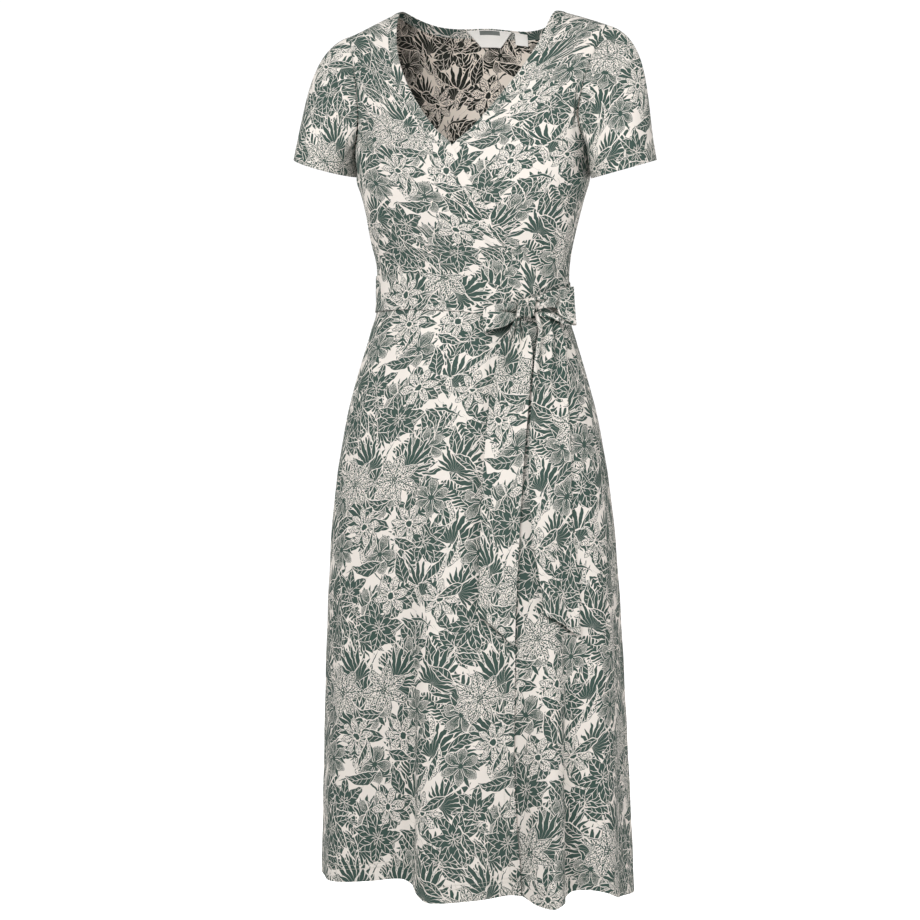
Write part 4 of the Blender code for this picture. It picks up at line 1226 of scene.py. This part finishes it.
# one row for each layer of the print, from the back to the front: motifs with their sizes in
# mm, cells across and down a repeat, jitter in mm, lean and sway in degrees, share of the
# cells in use
LAYERS = (
    ((("blade leaf", 25),), 4, 5, 6, 0, 300, 1.0),
    ((("comb leaf", 31),), 3, 4, 5, 20, 300, 0.9),
    ((("fan leaf", 30),), 3, 4, 5, 0, 160, 0.95),
    ((("blade leaf", 22),), 4, 5, 6, 60, 300, 0.85),
    ((("leaf star", 30),), 3, 4, 6, 0, 200, 0.6),
    ((("curved stem", 32),), 3, 4, 4, 0, 360, 0.8),
    ((("fan leaf", 28), ("netted flower", 25)), 3, 4, 8, 0, 360, 0.5),
    ((("blade leaf", 25),), 4, 5, 5, -40, 260, 0.6),
    ((("fan leaf", 31),), 3, 4, 4, 0, 90, 0.35),
    ((("leaf star", 33),), 3, 3, 8, 30, 200, 0.4),
    ((("comb leaf", 29), ("many petals", 25)), 3, 3, 10, 0, 360, 0.45),
    ((("blade leaf", 19),), 4, 5, 6, 10, 330, 0.4),
    ((("netted flower", 21),), 3, 4, 8, 0, 360, 0.25),
)


def leaf_print():
    """The whole print: 1 where the ink is, 0 where the ground shows."""
    tree, given = group("leaf and flower print", {"Point": VECTOR}, {"Ink": NUMBER})
    layout = print_layout()
    draw = fan_leaf, many_petals, netted_flower, blade_leaf, comb_leaf, leaf_star, curved_stem
    motifs = {made.name: made for made in (motif() for motif in draw)}
    wobble = noise(tree, given["Point"], 0.09, 1.0, "Color")
    point = vector_sum(tree, "MULTIPLY_ADD", wobble, (5.0, 5.0, 0.0), given["Point"])
    cells = add_node(
        tree, "ShaderNodeTexVoronoi", point, None, NET_SCALE,
        voronoi_dimensions="2D", feature="DISTANCE_TO_EDGE",
    )
    net = Term(tree, cells.outputs["Distance"]) / NET_SCALE
    dots = sharp(noise(tree, point, 0.60, 0.0) - 0.465, 0.06)
    ink = None
    for seed, (drawn, across, down, jitter, lean, sway, share) in enumerate(LAYERS, 1):
        at = use(
            tree, layout, Point=point, Cells=(across, down, 1.0), Seed=float(seed),
            Jitter=float(jitter), Lean=math.radians(lean), Sway=math.radians(sway),
        )
        chance = at["Chance"] / share
        there = calculate(tree, "LESS_THAN", chance, 1.0)
        for kind, size in drawn:
            made = use(
                tree, motifs[kind], Place=at["Place"], Size=float(size), Chance=chance,
                Net=net, Dots=dots,
            )
            ink = blend(0.0 if ink is None else ink, made["Ink"], made["Cover"] * there)
    give(tree, Ink=ink)
    return tree


# ---------------------------------------------------------------- the cloth's surface
def cloth_colour():
    """Ground and dye together, a little uneven as on worn-in printed jersey."""
    inputs = {"Point": VECTOR, "Ink": NUMBER, "Ground": COLOUR, "Dye": COLOUR}
    tree, given = group("dyed ground", inputs, {"Colour": COLOUR})
    grain = noise(tree, given["Point"], 1.6, 1.0)
    cloud = noise(tree, given["Point"], 0.012, 2.0)
    strength = given["Ink"] * (1.02 - grain * 0.06) * (0.99 + (cloud - 0.5) * 0.03)
    mixed = mix_colours(tree, strength, given["Ground"], given["Dye"])
    shade = 0.985 + (cloud - 0.5) * 0.07 + (grain - 0.5) * 0.05
    toned = vector_sum(tree, "MULTIPLY", mixed, join(tree, shade, shade, shade))
    give(tree, Colour=toned)
    return tree


def jersey_knit():
    """Fine rows of small V stitches, in mm, and the soft unevenness between them."""
    tree, given = group("jersey knit", {"Point": VECTOR, "Wale": NUMBER}, {"Height": NUMBER})
    x, y, _ = split(tree, given["Point"])
    wale = x / given["Wale"]
    leg = abs(wale.of("FRACT") - 0.5)
    ridge = (leg * (2 * math.pi)).of("COSINE") * -0.5
    course = ((y / given["Wale"] * 1.25 + leg * 0.8) * (2 * math.pi)).of("SINE")
    uneven = noise(tree, given["Point"], 0.35, 2.0)
    give(tree, Height=ridge * 0.55 + course * 0.30 + uneven * 1.6)
    return tree


def stitch_row():
    """A row of thread dashes at a distance from an edge, and the dent it pulls, in mm."""
    inputs = {"Distance": NUMBER, "Along": NUMBER, "Place": NUMBER}
    tree, given = group("stitch row", inputs, {"Thread": NUMBER, "Dent": NUMBER})
    off = abs(given["Distance"] - given["Place"])
    dash = stripes(given["Along"] / 3.1, 0.74)
    give(tree, Thread=sharp(0.30 - off, 0.25) * dash, Dent=(1.0 - off / 1.6).of("MAXIMUM", 0.0))
    return tree


def woven_tape():
    """Plain weave of a label, in mm: threads over and under."""
    tree, given = group("woven tape", {"Point": VECTOR}, {"Height": NUMBER})
    x, y, _ = split(tree, given["Point"])
    warp = abs((x / 0.42 * math.pi).of("SINE"))
    weft = abs((y / 0.30 * math.pi).of("SINE"))
    give(tree, Height=warp * 0.4 + weft * 0.6)
    return tree


def new_material(name):
    material = bpy.data.materials.new(name)
    material.use_nodes = True
    tree = material.node_tree
    return material, tree, tree.nodes["Principled BSDF"]


def uv(tree, label):
    """One of the mesh's maps, in mm."""
    made = add_node(tree, "ShaderNodeUVMap", uv_map=label)
    return vector_sum(tree, "MULTIPLY", made.outputs[0], (1 / MM, 1 / MM, 1 / MM))


def bump(tree, shader, height):
    """Unevenness from a height in mm."""
    made = add_node(tree, "ShaderNodeBump", 1.0, MM)  # strength and distance
    plug(tree, height, made.inputs["Height"])
    plug(tree, made.outputs["Normal"], shader.inputs["Normal"])


def soft_cloth(shader, roughness, sheen):
    shader.inputs["Roughness"].default_value = roughness
    shader.inputs["Specular IOR Level"].default_value = 0.10
    shader.inputs["Sheen Weight"].default_value = sheen
    shader.inputs["Sheen Roughness"].default_value = 0.55
    shader.inputs["Metallic"].default_value = 0.0


def printed(name, ground, dye, hems=True):
    """The printed jersey; hems adds the rows of stitches at its hem and its free edge."""
    material, tree, shader = new_material(name)
    point = uv(tree, "cut")
    ink = use(tree, PRINT, Point=point)["Ink"]
    colour = use(tree, DYED, Point=point, Ink=ink, Ground=ground, Dye=dye)["Colour"]
    height = use(tree, KNIT, Point=point, Wale=WALE)["Height"] * 0.06
    if hems:
        across, up, _ = split(tree, point)
        from_hem, from_front, _ = split(tree, uv(tree, "edges"))
        rows = [
            use(tree, STITCHES, Distance=distance, Along=along, Place=place)
            for distance, along, place in (
                (from_hem, across, HEM_ROWS[0]),
                (from_hem, across + 1.4, HEM_ROWS[1]),
                (from_front, up, EDGE_ROW),
            )
        ]
        thread = rows[0]["Thread"].of("MAXIMUM", rows[1]["Thread"])
        thread = thread.of("MAXIMUM", rows[2]["Thread"])
        dent = rows[0]["Dent"] + rows[1]["Dent"] + rows[2]["Dent"]
        colour = mix_colours(tree, thread * 0.75, colour, THREAD_CREAM)
        height = height - dent * 0.45 + thread * 0.35
    plug(tree, colour, shader.inputs["Base Color"])
    bump(tree, shader, height)
    soft_cloth(shader, roughness=0.85, sheen=0.025)
    return material


def tape(name, bar):
    """Label tape, sewn on by its upper edge; bar adds a plain dark bar in its middle."""
    material, tree, shader = new_material(name)
    point = uv(tree, "cut")
    x, y, _ = split(tree, point)
    height = use(tree, WEAVE, Point=point)["Height"]
    sewn = use(tree, STITCHES, Distance=-y, Along=x, Place=LABEL_ROW)
    mottle = noise(tree, point, 0.5, 1.0)
    worn = mottle * 0.25 + sewn["Thread"] * 0.5
    colour = mix_colours(tree, worn, *TAPE_COLOURS)
    if bar:
        mask = sharp(BAR_HALF_WIDE - abs(x)) * sharp(BAR_HALF_HIGH - abs(y + BAR_BELOW))
        weave = abs((x / 1.1 * math.pi).of("SINE")) * abs((y / 1.3 * math.pi).of("SINE"))
        colour = mix_colours(tree, mask * (0.95 - weave * 0.30), colour, BAR_COLOUR)
    plug(tree, colour, shader.inputs["Base Color"])
    bump(tree, shader, height * 0.05 - sewn["Dent"] * 0.2)
    soft_cloth(shader, roughness=0.55, sheen=0.05)
    return material


def loop_thread():
    """Twisted sewing thread of the belt's loops."""
    material, tree, shader = new_material("thread chain")
    point = uv(tree, "cut")
    x, y, _ = split(tree, point)
    twist = ((y * 1.6 + x * 2.2) * (2 * math.pi)).of("SINE")
    fibre = noise(tree, point, 3.0, 2.0)
    colour = mix_colours(tree, fibre * 0.5 + twist * 0.15 + 0.2, *THREAD_GREENS)
    plug(tree, colour, shader.inputs["Base Color"])
    bump(tree, shader, twist * 0.12 + fibre * 0.1)
    soft_cloth(shader, roughness=0.7, sheen=0.1)
    return material


WALE = 0.62  # width of a stitch of the knit, mm
HEM_ROWS, EDGE_ROW, LABEL_ROW = (15.5, 20.5), 13.0, 1.6  # rows of stitches: mm from the edge
BAR_HALF_WIDE, BAR_HALF_HIGH, BAR_BELOW = 14.0, 2.7, 3.0  # mm, the last from the upper edge
BAR_COLOUR = (0.040, 0.066, 0.058, 1.0)
TAPE_COLOURS = (0.97, 0.945, 0.905, 1.0), (0.86, 0.82, 0.76, 1.0)
THREAD_GREENS = (0.040, 0.080, 0.064, 1.0), (0.085, 0.145, 0.120, 1.0)
THREAD_CREAM = (0.62, 0.60, 0.53, 1.0)
# the inner face carries the print as the real cloth does, but its lighter ground is painted light
# and its near-black dye painted shade for the inside of the dress
GROUND, GROUND_INSIDE_PAINTED_LIGHT = (0.795, 0.743, 0.690, 1.0), (0.845, 0.755, 0.665, 1.0)
GROUND_BAND, GROUND_BELT = (0.790, 0.738, 0.684, 1.0), (0.786, 0.735, 0.682, 1.0)
DYE, DYE_INSIDE_PAINTED_SHADE = (0.036, 0.073, 0.061, 1.0), (0.008, 0.013, 0.010, 1.0)
PRINT, DYED, KNIT, STITCHES, WEAVE = (
    leaf_print(), cloth_colour(), jersey_knit(), stitch_row(), woven_tape()
)
# each cloth's outer and inner face; the inner face's lighter ground is painted light and its
# near-black dye painted shade
JERSEY = [
    printed("printed jersey", GROUND, DYE),
    printed("printed jersey, inside, painted light and shade", GROUND_INSIDE_PAINTED_LIGHT, DYE_INSIDE_PAINTED_SHADE),
]
BANDS = [printed("neck band jersey", GROUND_BAND, DYE, False)] * 2
BELTS = [printed("belt jersey", GROUND_BELT, DYE, False)] * 2
THREAD = loop_thread()
NECK_TAPE, SIZE_TAPE = tape("neck label tape", True), tape("size label tape", False)


# ---------------------------------------------------------------- the dress
# every piece: the node it stands for, the piece, its material slot, its cut (width and length of
# its smallest rectangle, and area, None where that fills it), how it is held, and what it lies on
# or hangs from; the thread loops are no sheets
DRESS = (
    ("bodice_front_right",
     bodice_front("over_bodice_front", -1, over_edge, over_lift, (-0.012, 0.051)),
     "printed_cloth", (0.290, 0.420, 0.0625), "draped", ("bodice_front_left",)),
    ("bodice_front_left",
     bodice_front("under_bodice_front", 1, under_edge, no_lift, (0.118, -0.037)),
     "printed_cloth", (0.285, 0.420, 0.0630), "draped", ("bodice_back",)),
    ("bodice_back", bodice_back("back_bodice"),
     "printed_cloth", (0.440, 0.420, 0.1430), "draped", ("sleeve_left", "sleeve_right")),
    ("neck_band_right",
     neck_band("over_neck_band", -1, over_edge, over_lift, (0.052, 0.161)),
     "printed_band", (0.012, 0.505, None), "folded", ("bodice_front_right",)),
    ("neck_band_left",
     neck_band("under_neck_band", 1, under_edge, no_lift, (0.147, 0.083)),
     "printed_band", (0.012, 0.500, None), "folded", ("bodice_front_left",)),
    ("neck_band_back", neck_band_back("back_neck_band"),
     "printed_band", (0.012, 0.265, None), "folded", ("bodice_back",)),
    ("sleeve_right", sleeve("right_sleeve", -1, (-0.083, 0.019)),
     "printed_cloth", (0.400, 0.150, 0.0360), "hung", ("bodice_back",)),
    ("sleeve_left", sleeve("left_sleeve", 1, (0.064, 0.141)),
     "printed_cloth", (0.400, 0.160, 0.0385), "hung", ("bodice_back",)),
    ("skirt_front_right",
     skirt("over_skirt_front", over_turns, over_lift, 74, (0.033, 0.012), ("first",), True),
     "printed_cloth", (0.430, 0.765, 0.2600), "hung", ("bodice_front_right",)),
    ("skirt_front_left",
     skirt("under_skirt_front", under_turns, no_lift, 60, (0.155, 0.204), ("last",)),
     "printed_cloth", (0.520, 0.770, 0.3100), "hung", ("bodice_front_left",)),
    ("skirt_back",
     skirt("back_skirt", back_turns, no_lift, 90, (0.091, 0.066), ("first", "last")),
     "printed_cloth", (0.610, 0.765, 0.4300), "hung", ("bodice_back",)),
    ("belt_band", belt_band("tie_belt"), "printed_belt", (0.047, 0.725, None), "laid",
     ("bodice_front_right", "skirt_front_right")),
    ("belt_knot", belt_knot("tie_belt_knot"),
     "printed_belt", (0.021, 0.047, None), "folded", ("belt_band",)),
    ("bow_loop_inner",
     bow_loop("inner_bow_loop", -1, 20.0, INNER_LOOP, INNER_GROOVES, (0.210, 0.230)),
     "printed_belt", (0.028, 0.110, None), "folded", ("belt_band",)),
    ("bow_loop_outer",
     bow_loop("outer_bow_loop", 1, 32.5, OUTER_LOOP, OUTER_GROOVES, (0.116, 0.044)),
     "printed_belt", (0.040, 0.118, None), "folded", ("belt_band",)),
    ("belt_tail_inner",
     belt_tail("inner_belt_end", TAIL_INNER, 0.040, INNER_TAIL_FOLDS, (0.046, 0.118)),
     "printed_belt", (0.050, 0.405, None), "hung", ("belt_knot", "skirt_front_right")),
    ("belt_tail_outer",
     belt_tail("outer_belt_end", TAIL_OUTER, 0.028, OUTER_TAIL_FOLDS, (0.176, 0.187)),
     "printed_belt", (0.053, 0.395, None), "hung", ("belt_knot", "skirt_front_right")),
    ("belt_loop_right", belt_loop("right_belt_loop", -90.0), "thread", None, None, ()),
    ("belt_loop_left", belt_loop("left_belt_loop", 90.0), "thread", None, None, ()),
    ("neck_label", label("back_neck_label", -0.003, 0.062, 0.027, 0.021, NECK_TAPE),
     "label_tape", (0.062, 0.021, 0.00094), "hung", ("neck_band_back",)),
    ("size_label", label("size_tab", 0.041, 0.0175, 0.0175, 0.0150, SIZE_TAPE),
     "label_tape", (0.0175, 0.015, None), "hung", ("neck_band_back",)),
)
for node, piece, slot, *_ in DRESS:
    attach(piece, "root")
    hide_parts(node)


# ---------------------------------------------------------------- floor, light and camera
FLOOR_LEVEL = -1.25
# place, size in m, watts and spread in degrees
LAMPS = {
    "key lamp": ((-0.6, -2.5, 0.95), 1.0, 30.0, 180.0),
    "front lamp": ((0.35, -2.6, 0.55), 1.0, 9.2, 100.0),
    "left lamp": ((-2.7, -1.0, 0.0), 1.8, 12.0, 180.0),
    "right lamp": ((2.9, -0.95, -0.9), 1.8, 50.0, 180.0),
    "back lamp": ((-1.6, 2.8, 0.5), 1.8, 58.0, 180.0),
}
LAMPS_AIM = (0.0, 0.0, -0.2)
ROOM_LIGHT, ROOM_SEEN = 0.40, 1.05  # how bright the room lights the dress, and how it looks
CAMERA_TURN, CAMERA_AWAY, CAMERA_LEVEL = 15.0, 3.2, -0.576


def floor():
    """A wide pale floor, a disc of quads below the hem."""
    angle = np.linspace(0, 2 * np.pi, 96, endpoint=False)[None, :]
    radii = np.array([0.01, 0.5, 1.5, 4.0, 10.0, 25.0, 60.0])[:, None]
    across, deep = radii * np.cos(angle), radii * np.sin(angle)
    rings = np.stack([across, deep, np.full(across.shape, FLOOR_LEVEL)], -1)
    index = np.arange(across.size).reshape(across.shape)
    after = np.roll(index, -1, axis=1)
    quads = np.stack([index[:-1], index[1:], after[1:], after[:-1]], -1).reshape(-1, 4)
    material, tree, shader = new_material("pale floor")
    place = add_node(tree, "ShaderNodeTexCoord").outputs["Object"]
    speck = add_node(tree, "ShaderNodeTexNoise", place, None, 3.0)
    greys = (0.55, 0.55, 0.55, 1.0), (0.57, 0.57, 0.565, 1.0)
    plug(tree, mix_colours(tree, speck.outputs["Fac"], *greys), shader.inputs["Base Color"])
    shader.inputs["Roughness"].default_value = 0.9
    shader.inputs["Specular IOR Level"].default_value = 0.0
    shader.inputs["Emission Color"].default_value = (1.0, 1.0, 1.0, 1.0)
    seen = add_node(tree, "ShaderNodeLightPath").outputs["Is Camera Ray"]
    plug(tree, seen, shader.inputs["Emission Strength"])
    made = mesh_object("floor", rings.reshape(-1, 3), [quads], {}, [material], [0] * len(quads))


def studio():
    """An even white room, with two lamps high in front and one at each side and behind."""
    world = bpy.data.worlds.new("studio")
    bpy.context.scene.world = world
    world.use_nodes = True
    tree = world.node_tree
    room = tree.nodes["Background"]
    room.inputs["Color"].default_value = (1.0, 0.995, 0.985, 1.0)
    room.inputs["Strength"].default_value = ROOM_LIGHT
    shown = add_node(tree, "ShaderNodeBackground", (1.0, 1.0, 1.0, 1.0), ROOM_SEEN)
    seen = add_node(tree, "ShaderNodeLightPath").outputs["Is Camera Ray"]
    either = add_node(tree, "ShaderNodeMixShader", seen, room.outputs[0], shown.outputs[0])
    plug(tree, either.outputs[0], tree.nodes["World Output"].inputs[0])
    for name, (spot, size, watts, spread) in LAMPS.items():
        data = bpy.data.lights.new(name, "AREA")
        data.size, data.energy, data.spread = size, watts, math.radians(spread)
        lamp = bpy.data.objects.new(name, data)
        lamp.location = spot
        lamp.visible_camera = False
        toward = np.array(LAMPS_AIM) - spot
        lamp.rotation_mode = "QUATERNION"
        lamp.rotation_quaternion = Vector(toward).to_track_quat("-Z", "Y")
        bpy.context.scene.collection.objects.link(lamp)


def camera():
    """Level with the hips and a little round to the wearer's left."""
    data = bpy.data.cameras.new("camera")
    data.sensor_width, data.lens = 36.0, 95.54
    data.shift_x, data.shift_y = -0.0228, -0.0109
    data.clip_end = 200.0
    made = bpy.data.objects.new("camera", data)
    turn = math.radians(CAMERA_TURN)
    away = CAMERA_AWAY * math.sin(turn), -CAMERA_AWAY * math.cos(turn)
    made.location = (*away, CAMERA_LEVEL)
    made.rotation_euler = (math.pi / 2, 0.0, turn)
    bpy.context.scene.collection.objects.link(made)
    bpy.context.scene.camera = made


floor()
studio()
camera()
bpy.context.scene.view_settings.view_transform = "Standard"
